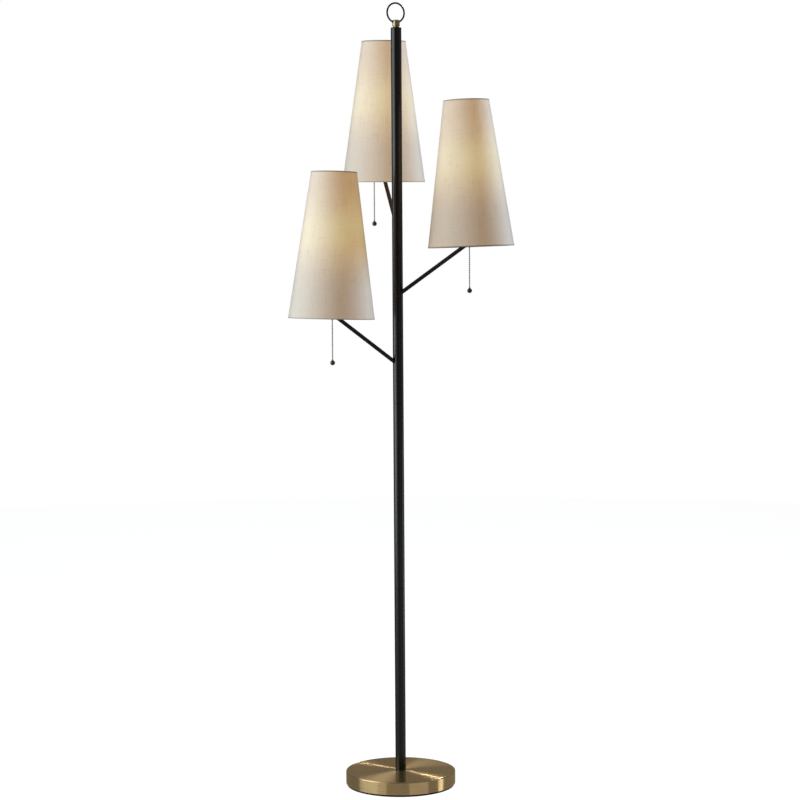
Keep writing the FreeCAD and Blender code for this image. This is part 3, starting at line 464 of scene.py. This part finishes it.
def lathe_mesh(name, profile, columns, closed=False, ripple=None):
    """Mesh turned about Z from (radius, height) points; a point on the axis becomes one closed pole.

    ripple(row, angle) gives what is added to the radius.
    """
    points, rows = [], []
    for row, (radius, height) in enumerate(profile):
        if radius == 0:
            rows.append([len(points)] * columns)
            points.append((0, 0, height))
            continue
        first = len(points)
        for column in range(columns):
            angle = 2 * math.pi * column / columns
            grown = radius + (ripple(row, angle) if ripple else 0)
            points.append((grown * math.cos(angle), grown * math.sin(angle), height))
        rows.append(list(range(first, first + columns)))
    faces = []
    pairs = list(zip(rows, rows[1:]))
    if closed:
        pairs.append((rows[-1], rows[0]))
    for lower, upper in pairs:
        for column in range(columns):
            onward = (column + 1) % columns
            corners = (lower[column], lower[onward], upper[onward], upper[column])
            face = list(dict.fromkeys(corners))
            if len(face) > 2:
                faces.append(face)
    mesh = bpy.data.meshes.new(name)
    mesh.from_pydata(points, [], faces)
    mesh.shade_smooth()
    mesh.set_sharp_from_angle(angle=SHARP)
    return mesh


def rounded(centre_radius, centre_height, radius, start, end, steps):
    """Points of an arc in a lathe profile, by angle from outwards to up, in degrees."""
    turns = [math.radians(start + (end - start) * k / steps) for k in range(steps + 1)]
    return [(centre_radius + radius * math.cos(t), centre_height + radius * math.sin(t)) for t in turns]


# ------------------------------------------------------------------ Geometry Nodes

class NodeTool(NodeTree):
    """A Geometry Nodes tree with named inputs, run once to give a plain mesh."""

    def __init__(self, name, inputs):
        super().__init__(bpy.data.node_groups.new(name, "GeometryNodeTree"))
        self.tree.interface.new_socket("Geometry", in_out="INPUT", socket_type="NodeSocketGeometry")
        for label, kind in inputs:
            self.tree.interface.new_socket(label, in_out="INPUT", socket_type=kind)
        self.tree.interface.new_socket("Geometry", in_out="OUTPUT", socket_type="NodeSocketGeometry")
        self.inputs = self.tree.nodes.new("NodeGroupInput")

    def size(self, label):
        """The named input's socket inside the tree."""
        return self.inputs.outputs[label]

    def end(self, geometry):
        """Ends the tree: instances made real, with the material set."""
        real = self.node("GeometryNodeRealizeInstances", None, {"Geometry": geometry})
        painted = self.node("GeometryNodeSetMaterial", None,
                            {"Geometry": real.outputs[0], "Material": self.size("Finish")})
        self.node("NodeGroupOutput", None, [painted.outputs[0]])
        return self

    def run(self, name, source, values):
        """The tree's result on a source mesh, as a mesh of its own."""
        carrier = bpy.data.objects.new(name + "_source", source)
        bpy.context.scene.collection.objects.link(carrier)
        modifier = carrier.modifiers.new(name, "NODES")
        modifier.node_group = self.tree
        for item in self.tree.interface.items_tree:
            if item.in_out == "INPUT" and item.name in values:
                modifier[item.identifier] = values[item.name]
        seen = carrier.evaluated_get(bpy.context.evaluated_depsgraph_get())
        mesh = bpy.data.meshes.new_from_object(seen)
        mesh.name = name
        carrier.modifiers.clear()
        bpy.data.objects.remove(carrier)
        return mesh


def bead_chain_tool():
    """Round beads on short wire links, in a line straight down from the source's origin."""
    tool = NodeTool("bead_chain", [
        ("Beads", "NodeSocketInt"), ("Pitch", "NodeSocketFloat"), ("Bead Radius", "NodeSocketFloat"),
        ("Link Radius", "NodeSocketFloat"), ("Finish", "NodeSocketMaterial"),
    ])
    down = tool.node("ShaderNodeMath", {"operation": "MULTIPLY"}, [tool.size("Pitch"), -1.0])
    step = tool.node("ShaderNodeCombineXYZ", None, {"Z": down.outputs[0]})
    line = tool.node("GeometryNodeMeshLine", {"mode": "OFFSET"},
                     {"Count": tool.size("Beads"), "Offset": step.outputs[0]})
    ball = tool.node("GeometryNodeMeshUVSphere", None, {
        "Segments": BEAD_SIDES, "Rings": BEAD_ROWS, "Radius": tool.size("Bead Radius")})
    link = tool.node("GeometryNodeMeshCylinder", None, {
        "Vertices": LINK_SIDES, "Radius": tool.size("Link Radius"), "Depth": tool.size("Pitch")})
    both = tool.node("GeometryNodeJoinGeometry")
    for each in (ball, link):
        placed = tool.node("GeometryNodeInstanceOnPoints", None, {
            "Points": line.outputs[0], "Instance": each.outputs[0]})
        tool.put(both.inputs[0], placed.outputs[0])
    smooth = tool.node("GeometryNodeSetShadeSmooth", None, {"Geometry": both.outputs[0]})
    return tool.end(smooth.outputs[0])


def round_wire_tool():
    """Round wire along each edge path of the source."""
    tool = NodeTool("round_wire", [("Wire Radius", "NodeSocketFloat"), ("Finish", "NodeSocketMaterial")])
    path = tool.node("GeometryNodeMeshToCurve", None, {"Mesh": tool.size("Geometry")})
    section = tool.node("GeometryNodeCurvePrimitiveCircle", None, {
        "Resolution": WIRE_SIDES, "Radius": tool.size("Wire Radius")})
    wire = tool.node("GeometryNodeCurveToMesh", None, {
        "Curve": path.outputs[0], "Profile Curve": section.outputs[0], "Fill Caps": True})
    smooth = tool.node("GeometryNodeSetShadeSmooth", None, {"Geometry": wire.outputs[0]})
    return tool.end(smooth.outputs[0])


def path_mesh(name, paths):
    """Edges through points, one run for each (points, closed)."""
    points, edges = [], []
    for run, closed in paths:
        first = len(points)
        points += run
        edges += [(first + k, first + k + 1) for k in range(len(run) - 1)]
        if closed:
            edges.append((len(points) - 1, first))
    mesh = bpy.data.meshes.new(name)
    mesh.from_pydata(points, edges, [])
    return mesh


def point_mesh(name):
    """A single point, for trees that need only a place to start."""
    mesh = bpy.data.meshes.new(name)
    mesh.from_pydata([(0, 0, 0)], [], [])
    return mesh


# ------------------------------------------------------------------ shades

def shade_radius(height):
    """Outer radius of the cone at a height above its foot."""
    return SHADE_FOOT_RADIUS + (SHADE_TOP_RADIUS - SHADE_FOOT_RADIUS) * height / SHADE_HEIGHT


def shade_profile():
    """(radius, height, zone) from the inner foot round the outside to the inner top."""
    def outside(height, proud):
        return (shade_radius(height) + proud, height, "cloth")

    def inside(height, zone):
        return (shade_radius(height) - SHADE_WALL, height, zone)

    foot, top = shade_radius(0), shade_radius(SHADE_HEIGHT)
    hem = [(0.0, HEM_PROUD * 0.5), (RIM_ROUND, HEM_PROUD),
           (HEM_HEIGHT - HEM_FADE, HEM_PROUD), (HEM_HEIGHT, 0.0)]
    profile = [(foot - SHADE_WALL, RIM_TURN, "cloth"), (foot - SHADE_WALL, RIM_ROUND, "cloth"),
               (foot - SHADE_WALL * RIM_SHARE, 0.0, "cloth")]
    profile += [outside(height, proud) for height, proud in hem]
    clear = SHADE_HEIGHT - 2 * HEM_HEIGHT
    profile += [outside(HEM_HEIGHT + clear * k / SHADE_ROWS, 0.0) for k in range(1, SHADE_ROWS)]
    profile += [outside(SHADE_HEIGHT - height, proud) for height, proud in reversed(hem)]
    profile += [(top - SHADE_WALL * RIM_SHARE, SHADE_HEIGHT, "cloth"),
                (top - SHADE_WALL, SHADE_HEIGHT - RIM_ROUND, "cloth"),
                inside(SHADE_HEIGHT - RIM_TURN, "cloth")]
    for row in range(1, LINER_ROWS):
        profile.append(inside(SHADE_HEIGHT - SHADE_HEIGHT * row / LINER_ROWS, "liner"))
    return profile


def shade_angles(seam_turn):
    """Angles of the mesh's columns from the seam onwards, and the angle that the lap takes.

    The columns stand in close pairs at both edges of the lap.
    """
    lap = LAP_WIDTH / SHADE_FOOT_RADIUS
    step = LAP_STEP / SHADE_FOOT_RADIUS
    clear = 2 * math.pi - lap - 2 * step
    plain = [lap + step + clear * k / SHADE_COLUMNS for k in range(SHADE_COLUMNS + 1)]
    return [seam_turn + angle for angle in [0.0, lap * 0.5, lap] + plain], lap


def shade_mesh(name, seam_turn):
    """Linen cone with folded hems and a lap seam, and its flat cut as a UV map."""
    profile = shade_profile()
    angles, lap = shade_angles(seam_turn)
    slope = math.hypot(SHADE_FOOT_RADIUS - SHADE_TOP_RADIUS, SHADE_HEIGHT)
    spread = (SHADE_FOOT_RADIUS - SHADE_TOP_RADIUS) / slope
    points = []
    for radius, height, zone in profile:
        lapped = zone == "cloth" and radius > shade_radius(height) - SHADE_WALL / 2
        for angle in angles:
            in_lap = angle - seam_turn <= lap + 1e-9
            proud = LAP_PROUD if lapped and in_lap else 0
            points.append(((radius + proud) * math.cos(angle), (radius + proud) * math.sin(angle), height))
    columns, rows = len(angles), len(profile)
    faces, cuts, zones = [], [], []
    half_turn = seam_turn + math.pi
    for row in range(rows):
        below, above = profile[row], profile[(row + 1) % rows]
        for column in range(columns):
            onward = (column + 1) % columns
            faces.append((row * columns + column, row * columns + onward,
                          (row + 1) % rows * columns + onward, (row + 1) % rows * columns + column))
            zones.append(0 if below[2] == "cloth" and above[2] == "cloth" else 1)
            first = angles[column] - half_turn
            last = (angles[onward] if onward else angles[0] + 2 * math.pi) - half_turn
            for turn, (radius, height, _) in ((first, below), (last, below), (last, above), (first, above)):
                reach = shade_radius(height) / spread
                cuts.append((reach * math.sin(turn * spread), -reach * math.cos(turn * spread)))
    mesh = bpy.data.meshes.new(name)
    mesh.from_pydata(points, [], faces)
    layer = mesh.uv_layers.new(name="flat_cut")
    for loop, cut in zip(layer.data, cuts):
        loop.uv = cut
    for polygon, zone in zip(mesh.polygons, zones):
        polygon.material_index = zone
    mesh.shade_smooth()
    mesh.set_sharp_from_angle(angle=SHADE_SHARP)
    return mesh


def frame_mesh(name, wire, spin, finish):
    """Rim rings, spokes and rolled fitter of a shade's wire frame."""
    def ring(height, radius, steps):
        turns = [2 * math.pi * k / steps for k in range(steps)]
        return [(radius * math.cos(turn), radius * math.sin(turn), height) for turn in turns]

    def ring_radius(height):
        return shade_radius(height + FRAME_WIRE_RADIUS) - SHADE_WALL - RING_CLEARANCE - FRAME_WIRE_RADIUS

    top = SHADE_HEIGHT - RING_INSET
    rims = [(ring(height, ring_radius(height), steps), True)
            for height, steps in ((RING_INSET, 96), (top, 72))]
    spokes = []
    for index in range(3):
        turn = math.radians(spin + (index + 0.5) * 120)
        outward = Vector((math.cos(turn), math.sin(turn), 0))
        middle = FITTER_HEIGHT + FITTER_THICKNESS / 2
        start = outward * (FITTER_RADIUS - SPOKE_RADIUS) + Vector((0, 0, middle))
        end = outward * ring_radius(RING_INSET) + Vector((0, 0, RING_INSET))
        spokes.append(([tuple(start), tuple(end)], False))
    rolled = 0.5 * MM
    low, high = FITTER_HEIGHT, FITTER_HEIGHT + FITTER_THICKNESS
    washer = [(FITTER_BORE, low + rolled), (FITTER_BORE + rolled, low), (FITTER_RADIUS - rolled, low),
              (FITTER_RADIUS, low + rolled), (FITTER_RADIUS, high - rolled), (FITTER_RADIUS - rolled, high),
              (FITTER_BORE + rolled, high), (FITTER_BORE, high - rolled)]
    parts = []
    for part, paths, radius in (("rims", rims, FRAME_WIRE_RADIUS), ("spokes", spokes, SPOKE_RADIUS)):
        sizes = {"Wire Radius": radius, "Finish": finish}
        parts.append(wire.run(name + "_" + part, path_mesh(part, paths), sizes))
    return joined(name, [*parts, lathe_mesh(name + "_fitter", washer, columns=64, closed=True)])


def joined(name, meshes):
    """One mesh of several."""
    points, faces = [], []
    for mesh in meshes:
        first = len(points)
        points += [tuple(v.co) for v in mesh.vertices]
        faces += [[first + k for k in polygon.vertices] for polygon in mesh.polygons]
    whole = bpy.data.meshes.new(name)
    whole.from_pydata(points, [], faces)
    whole.shade_smooth()
    whole.set_sharp_from_angle(angle=SHARP)
    return whole


# ------------------------------------------------------------------ small turned pieces

def pull_ball_mesh(name, top):
    """Round pull with its collar and a fine groove under it, below a height."""
    centre = top - PULL_COLLAR_HEIGHT - math.sqrt(PULL_RADIUS ** 2 - PULL_COLLAR_RADIUS ** 2)
    collar = math.degrees(math.acos(PULL_COLLAR_RADIUS / PULL_RADIUS))
    ball = rounded(0, centre, PULL_RADIUS, -90, collar, steps=22)
    ball[0] = (0, ball[0][1])
    soft = 0.3 * MM
    neck = [(PULL_COLLAR_RADIUS - soft, ball[-1][1] + soft), (PULL_COLLAR_RADIUS, ball[-1][1] + 2 * soft),
            (PULL_COLLAR_RADIUS, top - soft), (PULL_COLLAR_RADIUS - soft, top), (0, top)]
    return lathe_mesh(name, ball + neck, columns=40)


def clamp_ring_mesh(name):
    """Threaded ring with a knurled edge."""
    bevel = 0.8 * MM
    low, high = CLAMP_BOTTOM, CLAMP_BOTTOM + CLAMP_HEIGHT
    profile = [(CLAMP_BORE, low), (CLAMP_RADIUS - bevel, low), (CLAMP_RADIUS, low + bevel),
               (CLAMP_RADIUS, high - bevel), (CLAMP_RADIUS - bevel, high), (CLAMP_BORE, high)]

    def knurl(row, angle):
        return -KNURL_DEPTH * (0.5 + 0.5 * math.cos(KNURLS * angle)) if row in (2, 3) else 0
    return lathe_mesh(name, profile, KNURLS * 4, closed=True, ripple=knurl)


def foam_pad_mesh(name):
    """Foot pad with a soft edge."""
    soft = 1.2 * MM
    rings = [PAD_RADIUS * k / 6 for k in range(1, 6)]
    profile = [(0, 0)] + [(radius, 0) for radius in rings]
    profile += rounded(PAD_RADIUS - soft, soft, soft, -90, 0, steps=4)
    profile += rounded(PAD_RADIUS - soft, PAD_THICKNESS - soft, soft, 0, 90, steps=4)
    profile += [(radius, PAD_THICKNESS) for radius in reversed(rings)] + [(0, PAD_THICKNESS)]
    return lathe_mesh(name, profile, columns=128)


# ------------------------------------------------------------------ the lamp

def finishes():
    """Every finish by the record's slot that it shows."""
    return {
        "brass_finish": spun_brass(),
        "finial_brass": satin_brass("finial_brass", (0.33, 0.26, 0.14), (0.15, 0.11, 0.055), 0.30),
        "black_powder_coat": powder_coat(
            "black_powder_coat", (0.0032, 0.0029, 0.0031), (0.0055, 0.0048, 0.0046), 0.20, 0.42),
        "cast_iron": rough_casting(),
        "foot_foam": cellular_foam(),
        "black_plastic": plain_moulding(
            "black_plastic", (0.012, 0.012, 0.012), (0.025, 0.025, 0.025), 0.4, 700.0),
        "zinc_steel": plated_metal("zinc_steel", (0.46, 0.46, 0.47), (0.62, 0.62, 0.63), 0.28),
        "dark_bronze": powder_coat(
            "dark_bronze", (0.0060, 0.0042, 0.0034), (0.012, 0.008, 0.006), 0.36, 0.22),
        "lead_sheath": plain_moulding("lead_sheath", (0.02, 0.02, 0.02), (0.035, 0.035, 0.035), 0.38, 300.0),
        "socket_brass": satin_brass("socket_brass", (0.56, 0.41, 0.2), (0.33, 0.22, 0.1), 0.24),
        "insulator": plain_moulding("insulator", (0.018, 0.016, 0.015), (0.04, 0.035, 0.03), 0.35, 500.0),
        "contact_brass": satin_brass("contact_brass", (0.72, 0.56, 0.28), (0.5, 0.36, 0.17), 0.2),
        "white_wire": plain_moulding("white_wire", (0.7, 0.68, 0.64), (0.8, 0.78, 0.74), 0.35, 260.0),
        "chain_brass": satin_brass("chain_brass", (0.075, 0.07, 0.034), (0.03, 0.027, 0.013), 0.22),
        "cap_aluminium": plated_metal("cap_aluminium", (0.66, 0.66, 0.67), (0.8, 0.8, 0.81), 0.25),
        "opal_glass": opal_glass(),
        "lampshade_liner": lampshade_liner(),
    }


NODE_SLOTS = {
    "base_cover": "brass_finish", "finial_knob": "finial_brass", "finial_ring": "dark_bronze",
    "base_weight": "cast_iron", "cord_bushing": "black_plastic",
    "base_pipe": "zinc_steel", "base_washer": "zinc_steel", "base_nut": "zinc_steel",
    "pole_couplings": "zinc_steel", "pole_foot_plug": "zinc_steel", "socket_locknuts": "zinc_steel",
    "lever_pins": "zinc_steel",
    "pole_bottom_section": "black_powder_coat", "pole_lower_section": "black_powder_coat",
    "pole_branch_section": "black_powder_coat", "pole_top_section": "black_powder_coat",
    "pole_top_plug": "black_powder_coat",
}
BRANCH_SLOTS = {
    "arm": "dark_bronze", "lead": "lead_sheath", "socket_cap": "socket_brass", "socket_shell": "socket_brass",
    "socket_core": "insulator", "lamp_contacts": "contact_brass", "pull_lever": "zinc_steel",
    "bulb_cap": "cap_aluminium", "bulb_glass": "opal_glass",
}


def paint_nodes(finish):
    """Gives every CAD node that stays its finish."""
    slots = dict(NODE_SLOTS)
    for name, *_ in BRANCHES:
        slots.update({name + "_" + part: slot for part, slot in BRANCH_SLOTS.items()})
    for node, slot in slots.items():
        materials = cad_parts[node].data.materials
        materials.clear()
        materials.append(finish[slot])


def dress_branch(branch, finish, beads, wire):
    """Shade, wire frame, chains, pull and knurled ring of one branch."""
    name, turn, chain_turn, foot = branch
    holder = holder_place(turn, foot)
    socket = socket_place(turn, chain_turn, foot)
    cloth = linen(name + "_linen", holder @ Vector((0, 0, 0)), holder @ Vector((0, 0, SHADE_HEIGHT)))
    seam_turn = math.radians(180 - turn)
    shade = new_piece(name + "_linen_shade", shade_mesh(name + "_linen_shade", seam_turn),
                      [cloth, finish["lampshade_liner"]], "lamp", holder)
    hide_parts(name + "_shade")
    frame_wire = finish["white_wire"]
    framework = frame_mesh(name + "_wire_frame", wire, chain_turn - turn, frame_wire)
    wires = new_piece(name + "_wire_frame", framework, frame_wire, "lamp", holder)
    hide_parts(name + "_shade_frame")
    ring = new_piece(name + "_knurled_ring", clamp_ring_mesh(name + "_knurled_ring"),
                     finish["socket_brass"], "lamp", socket)
    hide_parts(name + "_clamp_ring")

    brass = finish["chain_brass"]
    sizes = {"Pitch": BEAD_PITCH, "Bead Radius": BEAD_RADIUS, "Link Radius": LINK_RADIUS, "Finish": brass}
    mouth = socket @ Vector((CHAIN_OFFSET, 0, NOZZLE_MOUTH))
    hanging = beads.run(name + "_beads", point_mesh("start"), {**sizes, "Beads": HANGING_BEADS})
    chain = new_piece(name + "_hanging_beads", hanging, brass, name + "_hanging_chain",
                      Matrix.Translation(mouth - Vector((0, 0, FIRST_BEAD))))
    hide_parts(name + "_pull_chain")
    last_foot = FIRST_BEAD + (HANGING_BEADS - 1) * BEAD_PITCH + BEAD_RADIUS
    ball = new_piece(name + "_round_pull", pull_ball_mesh(name + "_round_pull", -last_foot - PULL_GAP),
                     brass, name + "_hanging_chain", Matrix.Translation(mouth))
    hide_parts(name + "_pull_chain")

    upper = beads.run(name + "_upper_beads", point_mesh("start"), {**sizes, "Beads": BEADS_BELOW_FORK})
    upper.transform(Matrix.Translation((0, 0, FORK_HEIGHT - FORK_GAP / 2 - BEAD_RADIUS)))
    over = beads.run(name + "_top_bead", point_mesh("start"), {**sizes, "Beads": 1})
    over.transform(Matrix.Translation((0, 0, FORK_HEIGHT + FORK_GAP / 2 + BEAD_RADIUS)))
    top = new_piece(name + "_upper_chain", joined(name + "_upper_chain", [upper, over]), brass,
                    name + "_switch_chain", socket @ Matrix.Translation((CHAIN_OFFSET, 0, 0)))
    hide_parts(name + "_chain_top")


def dress_base(finish):
    """Foam pad under the base."""
    pad = new_piece("foam_pad", foam_pad_mesh("foam_pad"), finish["foot_foam"], "lamp")
    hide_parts("base_pad")


# ------------------------------------------------------------------ studio

CAMERA_PLACE = Vector((-0.0001, -5.337164, 1.322088))
CAMERA_PITCH = -4.147
CAMERA_YAW = 0.043
CAMERA_ROLL = -0.362
CAMERA_LENS = 100.356
SENSOR_WIDTH = 36.0
FARTHEST_SEEN = 60.0
CARD_DISTANCE = 6.0
CARD_HEIGHT = 9.4
FLOOR_CARD_START = 0.137        # from the lamp's axis, just outside the base
FLOOR_CARD_RISE = 0.5 * MM
RIBBON_SHARE = 0.95             # of CARD_DISTANCE
FLOOR_RADIUS = 6.0
FLOOR_WHITE = 0.93              # how white the floor is to the eye
SKY_LEVEL = 0.20                # the even light on every surface
COOL = (0.77, 1.0, 1.16)
BLUE = (0.69, 1.0, 1.3)

# Cards: name, first and last compass turn, brightness
CARDS = (
    ("front_card", -30, 18, 0.10),
    ("front_right_card", 18, 61, 0.26),
    ("right_card", 61, 87, 0.08),
    ("back_right_card", 100, 150, 0.20),
    ("back_card", 150, 235, 0.22),
    ("left_card", 235, 265, 0.12),
)
CEILING_LEVEL = 0.25
FLOOR_CARDS = (
    ("front_floor_card", -31, 18, 0.36),
    ("front_right_floor_card", 18, 61, 0.60),
    ("right_floor_card", 61, 88, 0.30),
    ("right_edge_floor_card", 88, 101, 1.6),
    ("back_right_floor_card", 101, 180, 0.28),
    ("back_left_floor_card", -180, -97, 0.22),
    ("left_floor_card", -97, -88, 0.45),
    ("front_left_floor_card", -88, -31, 0.55),
)

# Ribbons: name, first and last compass turn, low and high tilt, brightness
RIBBONS = (
    ("crisp_streak_card", 49.0, 50.4, 16.0, 20.0, 300.0),
    ("broad_streak_card", -60, -15, 3.0, 14.0, 1.0),
)


def camera():
    """Camera at the photograph's place and angle."""
    data = bpy.data.cameras.new("camera")
    data.lens = CAMERA_LENS
    data.sensor_width = SENSOR_WIDTH
    data.clip_end = FARTHEST_SEEN
    made = bpy.data.objects.new("camera", data)
    bpy.context.scene.collection.objects.link(made)
    aim = Euler((math.radians(90 + CAMERA_PITCH), 0, math.radians(-CAMERA_YAW))).to_matrix().to_4x4()
    made.matrix_world = (Matrix.Translation(CAMERA_PLACE) @ aim
                         @ Matrix.Rotation(math.radians(CAMERA_ROLL), 4, "Z"))
    bpy.context.scene.camera = made


def softbox(name, azimuth, distance, height, width, tall, power, colour, mirrored=True):
    """Upright area light that faces the lamp's axis, at a compass turn from the front to the right.

    Metal and gloss show it where it is mirrored.
    """
    data = bpy.data.lights.new(name, "AREA")
    data.shape = "RECTANGLE"
    data.size = width
    data.size_y = tall
    data.energy = power
    data.color = colour
    made = bpy.data.objects.new(name, data)
    bpy.context.scene.collection.objects.link(made)
    turn = math.radians(azimuth)
    place = Vector((distance * math.sin(turn), -distance * math.cos(turn), height))
    aim = Vector((0, 0, height)) - place
    made.matrix_world = Matrix.Translation(place) @ aim.to_track_quat("-Z", "Y").to_matrix().to_4x4()
    made.visible_glossy = mirrored


def reflected_sheet(name, points, faces, shade):
    """Sheet that only reflections see, evenly bright."""
    mesh = bpy.data.meshes.new(name)
    mesh.from_pydata(points, [], faces)
    finish = Finish(name, Roughness=1.0, Specular_IOR_Level=0.0)
    finish.give(Base_Color=BLACK, Emission_Color=(shade, shade, shade), Emission_Strength=1.0)
    mesh.materials.append(finish.material)
    made = bpy.data.objects.new(name, mesh)
    bpy.context.scene.collection.objects.link(made)
    made.visible_camera = False
    made.visible_diffuse = False
    made.visible_shadow = False
    made.visible_transmission = False


def card(name, first, last, shade):
    """Upright curved card round the lamp between two compass turns."""
    steps = 12
    points, faces = [], []
    for k in range(steps + 1):
        turn = math.radians(first + (last - first) * k / steps)
        for height in (0.0, CARD_HEIGHT):
            points.append((CARD_DISTANCE * math.sin(turn), -CARD_DISTANCE * math.cos(turn), height))
    for k in range(steps):
        faces.append((2 * k, 2 * k + 1, 2 * k + 3, 2 * k + 2))
    reflected_sheet(name, points, faces, shade)


def floor_card(name, first, last, shade):
    """Flat sheet just above the floor, as the base's side mirrors it between two compass turns."""
    steps = 16
    points, faces = [], []
    for k in range(steps + 1):
        turn = math.radians(first + (last - first) * k / steps)
        start = Vector((math.sin(turn / 2), -math.cos(turn / 2), 0)) * FLOOR_CARD_START
        end = start + Vector((math.sin(turn), -math.cos(turn), 0)) * CARD_DISTANCE
        points += [(*start.xy, FLOOR_CARD_RISE), (*end.xy, FLOOR_CARD_RISE)]
    for k in range(steps):
        faces.append((2 * k, 2 * k + 1, 2 * k + 3, 2 * k + 2))
    reflected_sheet(name, points, faces, shade)


def ribbon_card(name, first, last, low_tilt, high_tilt, shade):
    """Ribbon that the base's brush marks draw out into a streak between two compass turns."""
    centre = Vector((0, 0, BASE_TOP))
    towards = (CAMERA_PLACE - centre).normalized()
    rows, columns = 10, 6           # enough for a smooth ribbon
    points, faces = [], []
    for row in range(rows + 1):
        tilt = math.radians(low_tilt + (high_tilt - low_tilt) * row / rows)
        for column in range(columns + 1):
            turn = math.radians(first + (last - first) * column / columns)
            flat = math.sin(tilt)
            facing = Vector((flat * math.sin(turn), -flat * math.cos(turn), math.cos(tilt)))
            away = 2 * facing.dot(towards) * facing - towards
            points.append(tuple(centre + away * CARD_DISTANCE * RIBBON_SHARE))
    for row in range(rows):
        for column in range(columns):
            first_point = row * (columns + 1) + column
            faces.append((first_point, first_point + 1, first_point + columns + 2, first_point + columns + 1))
    reflected_sheet(name, points, faces, shade)


def ceiling_card(shade):
    """Round sheet over the lamp."""
    steps = 48
    turns = [2 * math.pi * k / steps for k in range(steps)]
    points = [(CARD_DISTANCE * math.cos(turn), CARD_DISTANCE * math.sin(turn), CARD_HEIGHT) for turn in turns]
    reflected_sheet("ceiling_card", points, [tuple(range(steps))], shade)


def floor():
    """Pale floor that shows white and keeps the lamp's shadow."""
    steps = 96
    turns = [2 * math.pi * k / steps for k in range(steps)]
    edge = [(FLOOR_RADIUS * math.cos(turn), FLOOR_RADIUS * math.sin(turn), 0) for turn in turns]
    points = [(0, 0, 0)] + edge
    faces = [(0, k + 1, (k + 1) % steps + 1) for k in range(steps)]
    mesh = bpy.data.meshes.new("studio_floor")
    mesh.from_pydata(points, [], faces)
    finish = Finish("studio_floor", Roughness=0.9, Specular_IOR_Level=0.0)
    grain = finish.noise(finish.position(), scale=3.0)
    finish.give(Base_Color=finish.mixed(grain, (0.24, 0.24, 0.24), (0.26, 0.26, 0.26)))
    rays = finish.node("ShaderNodeLightPath")
    seen = Value(finish, rays.outputs["Is Camera Ray"]) + Value(finish, rays.outputs["Is Glossy Ray"])
    seen = (seen + Value(finish, rays.outputs["Is Transmission Ray"])) * FLOOR_WHITE
    finish.give(Emission_Color=finish.mixed(seen, BLACK, WHITE), Emission_Strength=1.0)
    mesh.materials.append(finish.material)
    ground = bpy.data.objects.new("studio_floor", mesh)
    bpy.context.scene.collection.objects.link(ground)


def surroundings(level):
    """White to the eye and in reflections, and an even light on every surface."""
    world = bpy.data.worlds.new("studio")
    bpy.context.scene.world = world
    world.use_nodes = True
    sky = NodeTree(world.node_tree)
    sky.tree.nodes.clear()
    larger = {"operation": "MAXIMUM"}
    rays = sky.node("ShaderNodeLightPath").outputs
    seen = sky.node("ShaderNodeMath", larger, [rays["Is Camera Ray"], rays["Is Glossy Ray"]])
    seen = sky.node("ShaderNodeMath", larger, [seen.outputs[0], rays["Is Transmission Ray"]])
    limits = {"Value": seen.outputs[0], "To Min": level, "To Max": 1.0}
    strength = sky.node("ShaderNodeMapRange", None, limits)
    background = sky.node("ShaderNodeBackground", None, {"Color": WHITE, "Strength": strength.outputs[0]})
    sky.node("ShaderNodeOutputWorld", None, {"Surface": background.outputs[0]})


def studio():
    """Camera, lamps, reflection cards, floor and surroundings."""
    bpy.context.scene.view_settings.view_transform = "Standard"
    camera()
    surroundings(SKY_LEVEL)
    floor()
    softbox("left_softbox", azimuth=-72, distance=2.2, height=1.4,
            width=1.9, tall=2.3, power=48, colour=COOL)
    softbox("right_softbox", azimuth=106, distance=3.5, height=1.7,
            width=1.05, tall=1.05, power=104, colour=BLUE, mirrored=False)
    softbox("right_low_strip", azimuth=94, distance=2.0, height=0.3,
            width=0.24, tall=0.6, power=1.7, colour=COOL)
    for each in CARDS:
        card(*each)
    ceiling_card(CEILING_LEVEL)
    for each in RIBBONS:
        ribbon_card(*each)
    for each in FLOOR_CARDS:
        floor_card(*each)


def main():
    """The whole scene."""
    finish = finishes()
    paint_nodes(finish)
    dress_base(finish)
    beads, wire = bead_chain_tool(), round_wire_tool()
    for branch in BRANCHES:
        dress_branch(branch, finish, beads, wire)
    studio()


def plain(box):
    """A box's corners as lists of numbers."""
    return [[float(x) for x in corner] for corner in box]


main()
